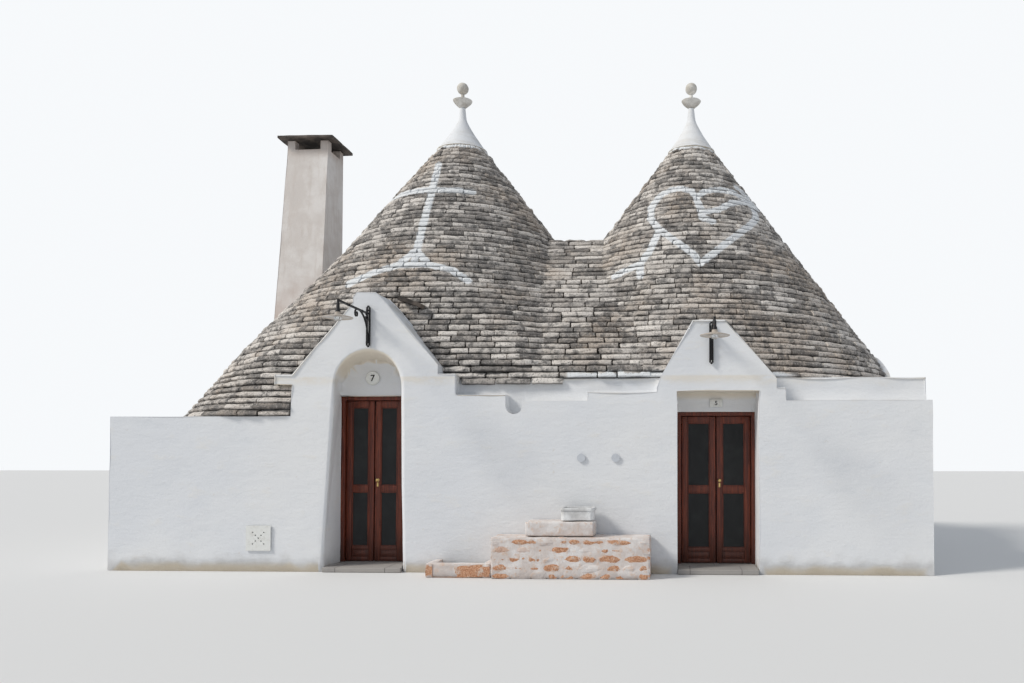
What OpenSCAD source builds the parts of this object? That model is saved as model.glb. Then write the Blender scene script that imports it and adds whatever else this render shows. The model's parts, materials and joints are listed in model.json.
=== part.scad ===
// Double trullo house: two rooms under two joined stone cones, behind one whitewashed wall
// Millimetres. X runs along the front, Y runs from front to rear, Z is up, the front faces -Y.
// The origin is on the ground, in the middle of the walls' footprint.

/* [House] */
// Length of the whitewashed front
house_w = 10150; // [9800:50:10600]
// Depth of the house from front to rear
house_d = 6600; // [6400:50:6900]
// Height of the level wall heads, where the domes and the main eave start
plate_z = 2400; // [2320:80:2480]
// Height of the ledge at the top of the front wall
ledge_z = 2100; // [2050:10:2140]
// How far the front wall steps back above the ledge
ledge_d = 250; // [150:10:350]
// Size of each room along the front
room_w = 3200; // [3000:20:3400]
// Size of each room from front to rear
room_d = 3200; // [3000:20:3400]
// Thickness of the stone floor and of the doorsteps
floor_t = 60; // [40:5:90]

/* [Roof] */
// Place of the left cone's axis along the front
left_x = -1510; // [-1600:10:-1400]
// Place of the right cone's axis along the front
right_x = 2250; // [2150:10:2350]
// Height of one course of roof slabs
course_h = 80; // [80:80:80]
// Thickness of the slab roof, measured level
skin_t = 150; // [120:10:190]
// Height of the low eave left of gable seven
eave_z = 1920; // [1840:80:2000]
// Radius of the left cone at its eave
left_eave_r = 4020; // [3900:10:4100]
// Radius of the left cone at its foot
left_foot_r = 3240; // [3150:10:3300]
// Height of the left cone's foot
left_foot_z = 2950; // [2850:10:3050]
// Radius of the left cone at half height
left_half_r = 1950; // [1900:10:2000]
// Height at which the left cone has that radius
left_half_z = 4430; // [4350:10:4500]
// Radius of the left cone under its cap
left_tip_r = 430; // [400:10:460]
// Height of the foot of the left cap
left_tip_z = 6400; // [6320:80:6480]
// Radius of the right cone at its eave
right_eave_r = 3590; // [3500:10:3700]
// Radius of the right cone at half height
right_half_r = 2300; // [2250:10:2350]
// Height at which the right cone has that radius
right_half_z = 3680; // [3600:10:3750]
// Radius of the right cone under its cap
right_tip_r = 400; // [370:10:430]
// Height of the foot of the right cap
right_tip_z = 6320; // [6240:80:6400]
// Half depth of the saddle at its eave
saddle_eave_d = 3640; // [3600:10:3680]
// Half depth of the saddle at half height
saddle_half_d = 2000; // [1960:10:2040]
// Height at which the saddle has that half depth
saddle_half_z = 3700; // [3650:10:3750]
// Half depth of the saddle's top
saddle_top_d = 650; // [600:10:700]
// Height of the saddle between the cones
saddle_z = 4800; // [4720:80:4880]
// Overhang of the eave past the wall under it
eave_out = 60; // [40:5:90]
// Height of the upright face of every eave
eave_face = 160; // [160:80:160]
// Rise of the steep skirt over the eaves, for each unit of depth
skirt_rise = 2; // [1.8:0.1:2.2]
// Height of that skirt, up to where it dies into the cones
skirt_h = 1600; // [1520:80:1680]

/* [Domes] */
// Height of one ring of corbelled stone
ring_h = 150; // [150:10:200]
// Radius of the last ring, under the closing stone
eye_r = 220; // [180:10:260]
// Height of the dome over the wall heads
dome_h = 3150; // [3000:150:3300]

/* [Caps] */
// Height of a white cap up to its neck
cap_h = 550; // [500:10:600]
// How hollow the caps' sweep is, where 1 is a plain cone
cap_sweep = 1.2; // [1:0.05:1.5]
// Radius of the neck
neck_r = 52; // [45:1:60]
// Length of the neck
neck_h = 200; // [160:10:240]
// Radius of the bowl on the neck
bowl_r = 160; // [140:5:180]
// Height of the bowl
bowl_h = 190; // [170:5:210]
// Radius of the ball on the bowl
ball_r = 98; // [90:1:106]
// Radius of the bowl's flat top
seat_r = 60; // [50:1:70]
// Radius of the short stem between bowl and ball
stem_r = 30; // [24:1:36]
// Height of that stem
stem_h = 40; // [30:1:50]

/* [Doorways] */
// Middle of door seven along the front
seven_x = -1912; // [-1930:2:-1890]
// Middle of doorway five along the front
five_x = 2510; // [2450:2:2570]
// Visible width of door seven
seven_w = 844; // [820:2:860]
// Visible width of door five, and width of its niche
five_w = 976; // [940:2:1020]
// Depth of both door niches
niche_d = 520; // [480:10:560]
// Left edge of niche seven on the wall's face, at the ground
face_left = -2334; // [-2350:2:-2310]
// Right edge of niche seven on the wall's face, at the ground
face_right = -1353; // [-1380:2:-1330]
// Middle of the arch of niche seven on the wall's face
face_arch_x = -1800; // [-1820:2:-1780]
// Radius of that arch
face_arch_r = 407; // [390:1:420]
// Height of the crown of that arch
face_arch_z = 2710; // [2690:5:2730]
// Height of the crown of the arch over door seven, at the back of the niche
rear_arch_z = 2660; // [2645:5:2675]
// Height of the flat niche over doorway five
flat_z = 2200; // [2180:5:2240]
// Height of the visible door in doorway seven
seven_head_z = 2190; // [2160:5:2210]
// Height of the visible door in doorway five
five_head_z = 1980; // [1950:5:2010]
// How far the door frame hides behind the masonry at its sides and top
rebate = 60; // [50:2:70]
// Thickness of the plaster panel over each door
panel_t = 50; // [40:2:60]
// How far the doorsteps stand out of the wall
step_out = 50; // [30:5:80]

/* [Gable seven] */
// Left foot of the slope
g7_left = -2770; // [-2800:5:-2740]
// Right foot of the slope
g7_right = -920; // [-950:5:-890]
// Left end of the flat top
g7_top_left = -2000; // [-2040:5:-1960]
// Right end of the flat top
g7_top_right = -1580; // [-1610:5:-1530]
// Height of the slope's feet
g7_foot_z = 2440; // [2420:5:2470]
// Height of the flat top under the coping stone
g7_top_z = 3330; // [3280:5:3380]
// Height of the coping stone
coping_h = 130; // [110:5:150]
// Height of the upright feet of both gables' slopes
gable_foot_h = 110; // [90:5:130]
// Length of the shoulder stones at the feet
shoulder_w = 220; // [180:5:240]
// Height of the left shoulder stone
shoulder_h = 140; // [120:5:160]

/* [Gable five] */
// Left foot of the slope
g5_left = 1770; // [1740:5:1800]
// Right foot of the slope
g5_right = 3330; // [3300:5:3360]
// Left end of the flat top
g5_top_left = 2210; // [2180:5:2240]
// Right end of the flat top
g5_top_right = 2600; // [2560:5:2640]
// Height of the slope's feet
g5_foot_z = 2250; // [2220:5:2280]
// Height of the flat top
g5_top_z = 3080; // [3070:5:3120]

/* [Ledge] */
// Height of the low parapet beside gable seven
parapet_left_h = 80; // [60:5:100]
// Right end of the parapet beside gable seven
parapet_left_end = -80; // [-120:5:-60]
// Height of the low parapet beside gable five
parapet_right_h = 110; // [90:5:130]
// Left end of the parapet beside gable five
parapet_right_start = 920; // [880:5:960]
// Width of the rain outlet through the ledge, which has a round foot
outlet_w = 200; // [160:5:220]
// Depth of the rain outlet under the ledge
outlet_h = 160; // [120:5:200]

/* [Cross arch] */
// Width of the open arch between the rooms
arch_w = 1400; // [1200:20:1500]
// Height at which that arch springs
arch_spring_z = 1500; // [1400:10:1550]

/* [Chimney] */
// Middle of the chimney's top along the front
chimney_x = -4380; // [-4420:10:-4340]
// Middle of the chimney's top from front to rear
chimney_y = 920; // [850:10:980]
// Width of the shaft at its foot, which spreads to the left
chimney_foot_w = 840; // [800:5:880]
// Width of the shaft at its top
chimney_top_w = 720; // [690:5:750]
// Depth of the shaft at its foot, which spreads to the front
chimney_foot_d = 1000; // [940:5:1050]
// Depth of the shaft at its top
chimney_top_d = 650; // [620:5:680]
// Height of the top of the shaft
chimney_z = 6740; // [6600:10:6850]
// Width of the square flue
flue_w = 340; // [280:5:380]
// Height of the smoke openings under the cap
smoke_h = 150; // [120:5:180]
// Width of the corner blocks that carry the cap
block_w = 140; // [120:5:160]
// Thickness of the chimney's cap slab
chimney_cap_t = 55; // [45:5:70]
// Overhang of the chimney's cap slab
chimney_cap_out = 130; // [110:5:150]

/* [Doors] */
// Depth of the door frames from front to rear
frame_d = 80; // [70:2:90]
// Visible width of the door frames
frame_w = 45; // [38:1:55]
// Thickness of the door leaves
leaf_t = 42; // [36:1:46]
// Clearance between a leaf and its frame
leaf_gap = 6; // [5:0.5:8]
// Clearance between the two leaves of a door
meeting_gap = 14; // [13:0.5:18]
// How far the hinge axis stands behind the leaf
hinge_out = 10; // [8:0.5:12]
// Radius of the hinge pins' knuckles
knuckle_r = 7; // [6:0.5:8]
// Length of a hinge knuckle
knuckle_h = 90; // [70:5:110]
// Thickness of a hinge strap
strap_t = 4; // [3:0.5:5]
// Width of the stiles of a leaf
stile_w = 74; // [64:1:84]
// Height of the top rail and of the middle rail
rail_h = 84; // [70:1:96]
// Height of the solid foot of a leaf
kick_h = 190; // [170:5:210]
// Depth of the sunk panels in that foot, on both faces
sunk_d = 8; // [5:1:11]
// Height of the two rails that hold those panels
foot_rail_h = 50; // [44:1:56]
// Height of the middle rail over the foot of a leaf
middle_rail_z = 890; // [840:10:940]
// Thickness of the wire screens
screen_t = 8; // [6:1:10]
// Height of the knobs over the doorstep
knob_z = 1110; // [1060:10:1150]
// Radius of the knobs
knob_r = 22; // [18:1:26]
// Thickness of the knobs' roses
rose_t = 5; // [4:0.5:7]
// How far the knobs stand out
knob_out = 46; // [40:1:55]

/* [Lamps] */
// Place of the lamp on gable seven along the front
lamp_seven_x = -1795; // [-1820:5:-1770]
// Height of the arm of that lamp
lamp_seven_z = 3180; // [3150:5:3200]
// Place of the lamp on gable five along the front
lamp_five_x = 2432; // [2400:2:2460]
// Height of the arm of that lamp
lamp_five_z = 2950; // [2930:5:2960]
// Reach of a lamp's arm
lamp_reach = 950; // [900:10:1000]
// Height of the wall bar that carries the arm
lamp_bar_h = 520; // [480:10:560]
// How far that wall bar reaches down below the arm
lamp_bar_drop = 416; // [390:2:440]
// Thickness of the iron bars
iron_t = 26; // [22:1:30]
// Radius of the brace under the arm
brace_r = 330; // [300:5:360]
// Radius of the scroll in the corner of the bracket
corner_scroll_r = 62; // [54:2:70]
// Radius of the scroll at the end of the brace
brace_scroll_r = 48; // [42:2:54]
// Length of the holder that hangs the shade from the arm
holder_h = 120; // [100:5:140]
// Radius of that holder
holder_r = 20; // [17:1:24]
// Radius of the lamp's flat shade
shade_r = 165; // [150:5:180]
// Height of the lamp's shade
shade_h = 70; // [60:2:80]
// Height of the shade's upright rim
shade_rim = 12; // [9:1:15]
// Radius at which the shade turns up to its holder
shade_turn_r = 58; // [50:1:66]
// Height of that turn over the rim's foot
shade_turn_h = 42; // [36:1:48]

/* [Wall fittings] */
// Side of the vent tile
vent_w = 310; // [280:5:340]
// Place of the vent tile's middle along the front
vent_x = -3150; // [-3200:10:-3100]
// Height of the vent tile's middle
vent_z = 410; // [380:5:440]
// Radius of the vent holes
vent_hole_r = 9; // [7:0.5:11]
// Distance between the vent holes along each diagonal
vent_step = 50; // [40:1:56]
// Thickness of tiles and plates on the wall
tile_t = 14; // [10:1:18]
// Radius of the round number tile over door seven
number_r = 90; // [80:2:100]
// Width of the oblong number tile over door five
number_w = 160; // [140:5:180]
// Height of that tile
number_h = 100; // [90:5:110]
// Place of the left cover plate along the front
cover_x = 850; // [820:5:880]
// Distance between the two cover plates
cover_step = 420; // [400:5:440]
// Radius of the two round cover plates
cover_r = 50; // [45:1:60]
// Height of the two round cover plates
cover_z = 1400; // [1350:5:1450]

/* [Bench] */
// Left end of the stone bench
bench_left = -160; // [-200:5:-120]
// Right end of the stone bench
bench_right = 1710; // [1650:5:1760]
// Depth of the bench in front of the wall
bench_d = 480; // [440:5:520]
// Height of the bench
bench_h = 480; // [440:5:520]
// Left end of the block on the bench
block_left = 230; // [200:5:260]
// Right end of the block on the bench
block_right = 1050; // [1000:5:1100]
// Height of the block on the bench
block_h = 180; // [160:5:200]
// Depth of the block on the bench
block_d = 400; // [360:5:420]
// Length of the stone basin on the block
basin_w = 420; // [380:5:440]
// Depth of the basin from front to rear
basin_d = 300; // [280:5:320]
// Height of the basin
basin_h = 160; // [140:5:180]
// Thickness of the basin's rim and bottom
basin_t = 45; // [40:1:55]
// Radius of the basin's upright corners
basin_r = 50; // [40:2:56]
// Left end of the low planter kerb
kerb_left = -940; // [-980:5:-900]
// Height of the planter kerb
kerb_h = 170; // [150:5:190]
// Thickness of the planter kerb
kerb_t = 110; // [100:5:130]
// Depth of the planter in front of the wall
kerb_d = 420; // [390:5:440]

/* [Hidden] */
$fn = 96;

whitewash = [0.93, 0.94, 0.95];
slab_grey = [0.55, 0.51, 0.46];
warm_stone = [0.80, 0.70, 0.58];
door_brown = [0.33, 0.10, 0.06];
iron_black = [0.08, 0.08, 0.09];

// Edges of the footprint, and of the rooms
west = -house_w / 2;
east = house_w / 2;
south = -house_d / 2;
north = house_d / 2;
room_south = -room_d / 2;
room_north = room_d / 2;
left_room_w = left_x - room_w / 2;
left_room_e = left_x + room_w / 2;
right_room_w = right_x - room_w / 2;
right_room_e = right_x + room_w / 2;
niche_back = south + niche_d;
set_back = south + ledge_d;
valley_x = (left_x + right_x) / 2;
frame_back = niche_back + frame_d;

// Sides of the passages behind both doors
seven_w_side = seven_x - seven_w / 2 - rebate;
seven_e_side = seven_x + seven_w / 2 + rebate;
five_w_side = five_x - five_w / 2 - rebate;
five_e_side = five_x + five_w / 2 + rebate;

// Reach of the shapes that only cut others
far = 9000;

// Outlines of the roof, as pairs of height and radius or half depth
left_line = [
    [eave_z, left_eave_r],
    [left_foot_z, left_foot_r],
    [left_half_z, left_half_r],
    [left_tip_z, left_tip_r]
];
right_line = [
    [eave_z, right_eave_r],
    [right_half_z, right_half_r],
    [right_tip_z, right_tip_r]
];
saddle_line = [
    [eave_z, saddle_eave_d],
    [saddle_half_z, saddle_half_d],
    [saddle_z, saddle_top_d]
];
// Faces of the three eaves
low_eave = -south + eave_out;
main_eave = -set_back + eave_out;
rear_eave = north + eave_out;

// Outline of a stack of courses, each as wide as the line is at its middle
function stairs(line, low, high) = [
    for (z = [low : course_h : high - course_h / 2])
        let (r = lookup(z + course_h / 2, line))
        each [[r, z], [r, z + course_h]]
];
function flip(points) = [for (i = [len(points) - 1 : -1 : 0]) [-points[i][0], points[i][1]]];
function inset(points, depth) = [for (p = points) [p[0] - depth, p[1]]];

// A box between two corners
module block(low, high) {
    translate(low)
        cube(high - low);
}

// An outline drawn in Y and Z, carried along X
module along_x(from, to, points) {
    translate([from, 0, 0])
        rotate([90, 0, 90])
            linear_extrude(to - from)
                polygon(points);
}

// An outline drawn in X and Z, carried along Y
module along_y(from, to) {
    translate([0, to, 0])
        rotate([90, 0, 0])
            linear_extrude(to - from)
                children();
}

// The courses of one cone between two heights, drawn in by some depth
module stepped_cone(x, line, low, high, depth) {
    translate([x, 0, 0])
        rotate_extrude()
            polygon(concat([[0, low]], inset(stairs(line, low, high), depth), [[0, high]]));
}

// The courses that fill the valley between the cones
module stepped_saddle(low, high, depth) {
    side = inset(stairs(saddle_line, low, high), depth);
    along_x(left_x, right_x, concat(side, flip(side)));
}

// What is cut away over one eave: its upright face, and the steep skirt over that
module over_skirt(from, to, edge, eave) {
    low = eave + eave_face;
    high = low + skirt_h;
    side = stairs([[low, edge], [high, edge - skirt_h / skirt_rise]], eave, high);
    along_x(from, to, concat([for (p = side) [-p[0], p[1]]], [[-far, high], [-far, eave]]));
}

// The outside of the whole roof over the main eave, or the masonry under its slabs when drawn in
module roof_form(depth) {
    difference() {
        union() {
            stepped_cone(left_x, left_line, plate_z, left_tip_z, depth);
            stepped_cone(right_x, right_line, plate_z, right_tip_z, depth);
            stepped_saddle(plate_z, depth > 0 ? saddle_z - course_h : saddle_z, depth);
        }
        over_skirt(west - far, g7_left, low_eave - depth, eave_z);
        over_skirt(g7_left, east + far, main_eave - depth, plate_z);
        mirror([0, 1, 0])
            over_skirt(west - far, east + far, rear_eave - depth, plate_z);
    }
}

// The foot of the left cone, which comes down to the low eave left of gable seven
module low_form(depth) {
    intersection() {
        difference() {
            stepped_cone(left_x, left_line, eave_z, plate_z, depth);
            over_skirt(west - far, g7_left, low_eave - depth, eave_z);
        }
        block([west, -far, 0], [g7_left, 0, far]);
    }
}

// Every place where a wall may stand: under the slabs, and up to the level wall heads
module under_roof() {
    low_form(skin_t);
    block([west, south, 0], [g7_left, 0, eave_z]);
    block([west, 0, 0], [east, north, plate_z]);
    block([g7_left, set_back, 0], [east, 0, plate_z]);
    block([g7_left, south, 0], [east, set_back, ledge_z]);
}

// A thin upright slice of niche seven: a straight foot and a round head
module niche_slice(y, left, right, x, r, crown_z) {
    along_y(y, y + 1) {
        translate([left, -1])
            square([right - left, floor_t + 1]);
        translate([x, crown_z - r])
            circle(r);
    }
}

// Niche seven, whose jambs lean in on the wall's face and stand upright beside the door
module niche_seven() {
    hull() {
        niche_slice(south - 1, face_left, face_right, face_arch_x, face_arch_r, face_arch_z);
        niche_slice(niche_back, seven_x - seven_w / 2, seven_x + seven_w / 2,
            seven_x, seven_w / 2, rear_arch_z);
    }
}

module gable_seven_outline() {
    polygon([
        [g7_left, ledge_z],
        [g7_right + shoulder_w, ledge_z],
        [g7_right + shoulder_w, g7_foot_z],
        [g7_right, g7_foot_z],
        [g7_right, g7_foot_z + gable_foot_h],
        [g7_top_right, g7_top_z],
        [g7_top_right - coping_h, g7_top_z + coping_h],
        [g7_top_left + coping_h / 3, g7_top_z + coping_h],
        [g7_top_left, g7_top_z + coping_h / 2],
        [g7_top_left, g7_top_z],
        [g7_left, g7_foot_z],
        [g7_left - shoulder_w, g7_foot_z],
        [g7_left - shoulder_w, g7_foot_z - shoulder_h],
        [g7_left, g7_foot_z - shoulder_h]
    ]);
}

module gable_five_outline() {
    polygon([
        [g5_left, ledge_z],
        [g5_right, ledge_z],
        [g5_right, g5_foot_z],
        [g5_right - gable_foot_h, g5_foot_z],
        [g5_right - gable_foot_h, g5_foot_z + gable_foot_h],
        [g5_top_right, g5_top_z],
        [g5_top_left, g5_top_z],
        [g5_left + gable_foot_h / 3, g5_foot_z + gable_foot_h],
        [g5_left, g5_foot_z]
    ]);
}

// Both gables as plain blocks, to cut what stands behind and beside them
module gable_blocks() {
    along_y(south - far / 2, niche_back)
        gable_seven_outline();
    along_y(south - far / 2, niche_back)
        gable_five_outline();
}

// The shaft, battered on its front and its left side
module chimney_outline() {
    right = chimney_x + chimney_top_w / 2;
    rear = chimney_y + chimney_top_d / 2;
    hull() {
        block([right - chimney_foot_w, rear - chimney_foot_d, plate_z], [right, rear, plate_z + 1]);
        block([right - chimney_top_w, rear - chimney_top_d, chimney_z - 1], [right, rear, chimney_z]);
    }
}

// Floors

module floor() {
    color(warm_stone) {
        block([left_room_w, room_south, 0], [left_room_e, room_north, floor_t]);
        block([right_room_w, room_south, 0], [right_room_e, room_north, floor_t]);
        block([left_room_e, -arch_w / 2, 0], [right_room_w, arch_w / 2, floor_t]);
        block([seven_w_side, frame_back, 0], [seven_e_side, room_south, floor_t]);
        block([five_w_side, frame_back, 0], [five_e_side, room_south, floor_t]);
    }
}

// One step, from the wall's face through the niche to the back of the door frame
module doorstep(left, right, x, w) {
    linear_extrude(floor_t)
        polygon([
            [left, south - step_out],
            [right, south - step_out],
            [right, south],
            [x + w / 2, niche_back],
            [x - w / 2, niche_back],
            [left, south]
        ]);
    block([x - w / 2 - rebate, niche_back, 0], [x + w / 2 + rebate, frame_back, floor_t]);
}

module doorsteps() {
    color(warm_stone) {
        doorstep(face_left, face_right, seven_x, seven_w);
        doorstep(five_x - five_w / 2, five_x + five_w / 2, five_x, five_w);
    }
}

// Walls

// A length of the front wall, whose ends give way to the passages behind the niches
module front_wall(from, to, from_inside, to_inside, ledge) {
    color(whitewash)
        difference() {
            intersection() {
                union() {
                    block([from, south, 0], [to, niche_back, ledge_z]);
                    block([from, ledge ? set_back : south, ledge_z], [to, niche_back, plate_z]);
                    block([from_inside, niche_back, 0], [to_inside, room_south, plate_z]);
                }
                under_roof();
            }
            gable_blocks();
        }
}

module front_wall_left() {
    difference() {
        front_wall(west, seven_x, west, seven_w_side, false);
        niche_seven();
    }
}

module front_wall_middle() {
    difference() {
        front_wall(seven_x, five_x - five_w / 2, seven_e_side, five_w_side, true);
        niche_seven();
        along_y(south - 1, set_back)
            translate([parapet_left_end + outlet_w / 2, ledge_z - outlet_h + outlet_w / 2]) {
                circle(outlet_w / 2);
                translate([-outlet_w / 2, 0])
                    square([outlet_w, outlet_h]);
            }
    }
}

module front_wall_right() {
    front_wall(five_x + five_w / 2, east, five_e_side, east, true);
}

module left_party_wall() {
    color(whitewash)
        intersection() {
            block([west, room_south, 0], [left_room_w, room_north, plate_z]);
            under_roof();
        }
}

module right_party_wall() {
    color(whitewash)
        intersection() {
            block([right_room_e, room_south, 0], [east, room_north, plate_z]);
            under_roof();
        }
}

module rear_wall() {
    color(whitewash)
        intersection() {
            block([west, room_north, 0], [east, north, plate_z]);
            under_roof();
        }
}

module cross_wall_front() {
    color(whitewash)
        block([left_room_e, room_south, 0], [right_room_w, -arch_w / 2, plate_z]);
}

module cross_wall_rear() {
    color(whitewash)
        block([left_room_e, arch_w / 2, 0], [right_room_w, room_north, plate_z]);
}

module cross_arch() {
    color(whitewash)
        difference() {
            block([left_room_e, -arch_w / 2, arch_spring_z], [right_room_w, arch_w / 2, plate_z]);
            translate([left_room_e - 1, 0, arch_spring_z])
                rotate([0, 90, 0])
                    cylinder(h = right_room_w - left_room_e + 2, r = arch_w / 2);
        }
}

module gable_seven() {
    color(whitewash)
        difference() {
            along_y(south, niche_back)
                gable_seven_outline();
            niche_seven();
        }
}

module gable_five() {
    color(whitewash)
        along_y(south, niche_back)
            difference() {
                gable_five_outline();
                translate([five_x - five_w / 2, ledge_z - 1])
                    square([five_w, flat_z - ledge_z + 1]);
            }
}

module lintel_seven() {
    color(whitewash) {
        block([seven_w_side, niche_back, seven_head_z + rebate], [seven_e_side, room_south, plate_z]);
        intersection() {
            niche_seven();
            block([face_left, niche_back - panel_t, seven_head_z], [face_right, niche_back, face_arch_z]);
        }
    }
}

module lintel_five() {
    color(whitewash) {
        block([five_w_side, niche_back, five_head_z + rebate], [five_e_side, room_south, plate_z]);
        block([five_x - five_w / 2, niche_back - panel_t, five_head_z],
            [five_x + five_w / 2, niche_back, flat_z]);
    }
}

module parapets() {
    color(whitewash) {
        block([g7_right + shoulder_w, south, ledge_z],
            [parapet_left_end, set_back, ledge_z + parapet_left_h]);
        block([parapet_right_start, south, ledge_z],
            [g5_left, set_back, ledge_z + parapet_right_h]);
    }
}

// Roof

// The corbelled hollow over a room, closed by one stone
module dome_hollow(x) {
    count = round(dome_h / ring_h);
    rings = [
        for (i = [0 : count - 1])
            let (r = eye_r + (room_w / 2 - eye_r) * cos(90 * i / count))
            each [[r, plate_z + i * ring_h], [r, plate_z + (i + 1) * ring_h]]
    ];
    translate([x, 0, 0])
        rotate_extrude()
            polygon(concat([[0, plate_z - 1], [room_w / 2, plate_z - 1]], rings, [[0, plate_z + dome_h]]));
}

// The masonry between a room's dome and the slabs
module dome(x, from, to) {
    color(whitewash)
        difference() {
            intersection() {
                roof_form(skin_t);
                block([from, south, 0], [to, north, far]);
            }
            dome_hollow(x);
            gable_blocks();
            chimney_outline();
        }
}

module left_dome() {
    dome(left_x, west, valley_x);
}

module right_dome() {
    dome(right_x, valley_x, east);
}

// The stacked slabs of one cone, with its half of the saddle
module slab_roof(from, to) {
    difference() {
        intersection() {
            roof_form(0);
            block([from, -far, 0], [to, far, far]);
        }
        roof_form(skin_t);
        gable_blocks();
        chimney_outline();
    }
}

module left_roof() {
    color(slab_grey) {
        slab_roof(west, valley_x);
        difference() {
            low_form(0);
            low_form(skin_t);
            gable_blocks();
        }
    }
}

module right_roof() {
    color(slab_grey)
        slab_roof(valley_x, east);
}

// The white cap, which sweeps in to a slim neck
module cap(x, tip_r, tip_z) {
    steps = 8;
    sweep = [
        for (i = [0 : steps])
            [neck_r + (tip_r - neck_r) * pow(1 - i / steps, cap_sweep), tip_z + cap_h * i / steps]
    ];
    color(whitewash)
        translate([x, 0, 0])
            rotate_extrude()
                polygon(concat([[0, tip_z]], sweep,
                    [[neck_r, tip_z + cap_h + neck_h], [0, tip_z + cap_h + neck_h]]));
}

module left_cap() {
    cap(left_x, left_tip_r, left_tip_z);
}

module right_cap() {
    cap(right_x, right_tip_r, right_tip_z);
}

// Outline of the bowl from its foot to its rim, as shares of its radius and its height
bowl_shape = [[0.48, 0.16], [0.74, 0.44], [0.93, 0.74], [1, 0.92]];

// The carved bowl with its ball
module pinnacle(x, z) {
    stem_top = bowl_h + stem_h;
    color(whitewash)
        translate([x, 0, z]) {
            rotate_extrude()
                polygon(concat(
                    [[0, 0], [neck_r, 0]],
                    [for (p = bowl_shape) [bowl_r * p[0], bowl_h * p[1]]],
                    [[seat_r, bowl_h], [stem_r, bowl_h], [stem_r, stem_top], [0, stem_top]]
                ));
            difference() {
                translate([0, 0, stem_top + sqrt(ball_r * ball_r - stem_r * stem_r)])
                    sphere(ball_r);
                translate([0, 0, stem_top - ball_r])
                    cylinder(h = ball_r, r = ball_r);
            }
        }
}

module left_pinnacle() {
    pinnacle(left_x, left_tip_z + cap_h + neck_h);
}

module right_pinnacle() {
    pinnacle(right_x, right_tip_z + cap_h + neck_h);
}

// Chimney

module chimney_shaft() {
    color(whitewash) {
        difference() {
            chimney_outline();
            block([chimney_x - flue_w / 2, chimney_y - flue_w / 2, plate_z - 1],
                [chimney_x + flue_w / 2, chimney_y + flue_w / 2, chimney_z + 1]);
        }
        for (sx = [-1, 1], sy = [-1, 1])
            translate([chimney_x + sx * (chimney_top_w - block_w) / 2,
                chimney_y + sy * (chimney_top_d - block_w) / 2, chimney_z + smoke_h / 2])
                cube([block_w, block_w, smoke_h], center = true);
    }
}

module chimney_cap() {
    color(slab_grey)
        translate([chimney_x, chimney_y, chimney_z + smoke_h + chimney_cap_t / 2])
            cube([chimney_top_w + 2 * chimney_cap_out, chimney_top_d + 2 * chimney_cap_out, chimney_cap_t],
                center = true);
}

// Doors

// The clear opening between the jambs of a door, and the width of each leaf in it
function clear_w(w) = w - 2 * frame_w;
function leaf_w(w) = (clear_w(w) - 2 * leaf_gap - meeting_gap) / 2;
leaf_z = floor_t + leaf_gap;
function leaf_h(head_z) = head_z - frame_w - leaf_gap - leaf_z;

module door_frame(x, w, head_z) {
    color(door_brown)
        difference() {
            block([x - w / 2 - rebate, niche_back, floor_t],
                [x + w / 2 + rebate, frame_back, head_z + rebate]);
            block([x - clear_w(w) / 2, niche_back - 1, floor_t - 1],
                [x + clear_w(w) / 2, frame_back + 1, head_z - frame_w]);
        }
}

// Places a leaf drawn from its hinge side; side is -1 for the left leaf and 1 for the right
module on_hinge(x, w, side) {
    translate([x + side * (clear_w(w) / 2 - leaf_gap), frame_back - leaf_t, leaf_z])
        mirror([side > 0 ? 1 : 0, 0, 0])
            children();
}

// The lower and upper edges of the two screens of a leaf
low_screen = [kick_h, middle_rail_z];
function high_screen(h) = [middle_rail_z + rail_h, h - rail_h];

module leaf(x, w, side, head_z) {
    h = leaf_h(head_z);
    panel_w = leaf_w(w) - 2 * stile_w;
    color(door_brown)
        on_hinge(x, w, side) {
            difference() {
                cube([leaf_w(w), leaf_t, h]);
                for (span = [low_screen, high_screen(h)])
                    translate([stile_w, -1, span[0]])
                        cube([panel_w, leaf_t + 2, span[1] - span[0]]);
                for (y = [-1, leaf_t - sunk_d])
                    translate([stile_w, y, foot_rail_h])
                        cube([panel_w, sunk_d + 1, kick_h - 2 * foot_rail_h]);
            }
            for (z = [knuckle_h, h - 2 * knuckle_h]) {
                translate([-leaf_gap, leaf_t + hinge_out, z])
                    cylinder(h = knuckle_h, r = knuckle_r, $fn = 24);
                translate([-leaf_gap, leaf_t + hinge_out - strap_t, z])
                    cube([3 * leaf_gap, strap_t, knuckle_h]);
                translate([leaf_gap / 2, leaf_t - 1, z])
                    cube([leaf_gap, hinge_out - 1, knuckle_h]);
            }
        }
}

module screens(x, w, side, head_z) {
    h = leaf_h(head_z);
    color(iron_black)
        on_hinge(x, w, side)
            for (span = [low_screen, high_screen(h)])
                translate([stile_w, (leaf_t - screen_t) / 2, span[0]])
                    cube([leaf_w(w) - 2 * stile_w, screen_t, span[1] - span[0]]);
}

// Outline of a knob from its neck to its front, as shares of its radius and its reach
knob_shape = [[0.4, 0.17], [0.4, 0.5], [1, 0.65], [1, 0.85], [0.6, 1]];

// A knob on its rose, in front of the meeting stile
module knob(x, w) {
    color("goldenrod")
        on_hinge(x, w, 1)
            translate([leaf_w(w) - stile_w / 2, 0, knob_z - leaf_z])
                rotate([90, 0, 0])
                    rotate_extrude($fn = 32)
                        polygon(concat(
                            [[0, 0], [knob_r, 0], [knob_r, rose_t]],
                            [for (p = knob_shape) [knob_r * p[0], knob_out * p[1]]],
                            [[0, knob_out]]
                        ));
}

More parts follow.
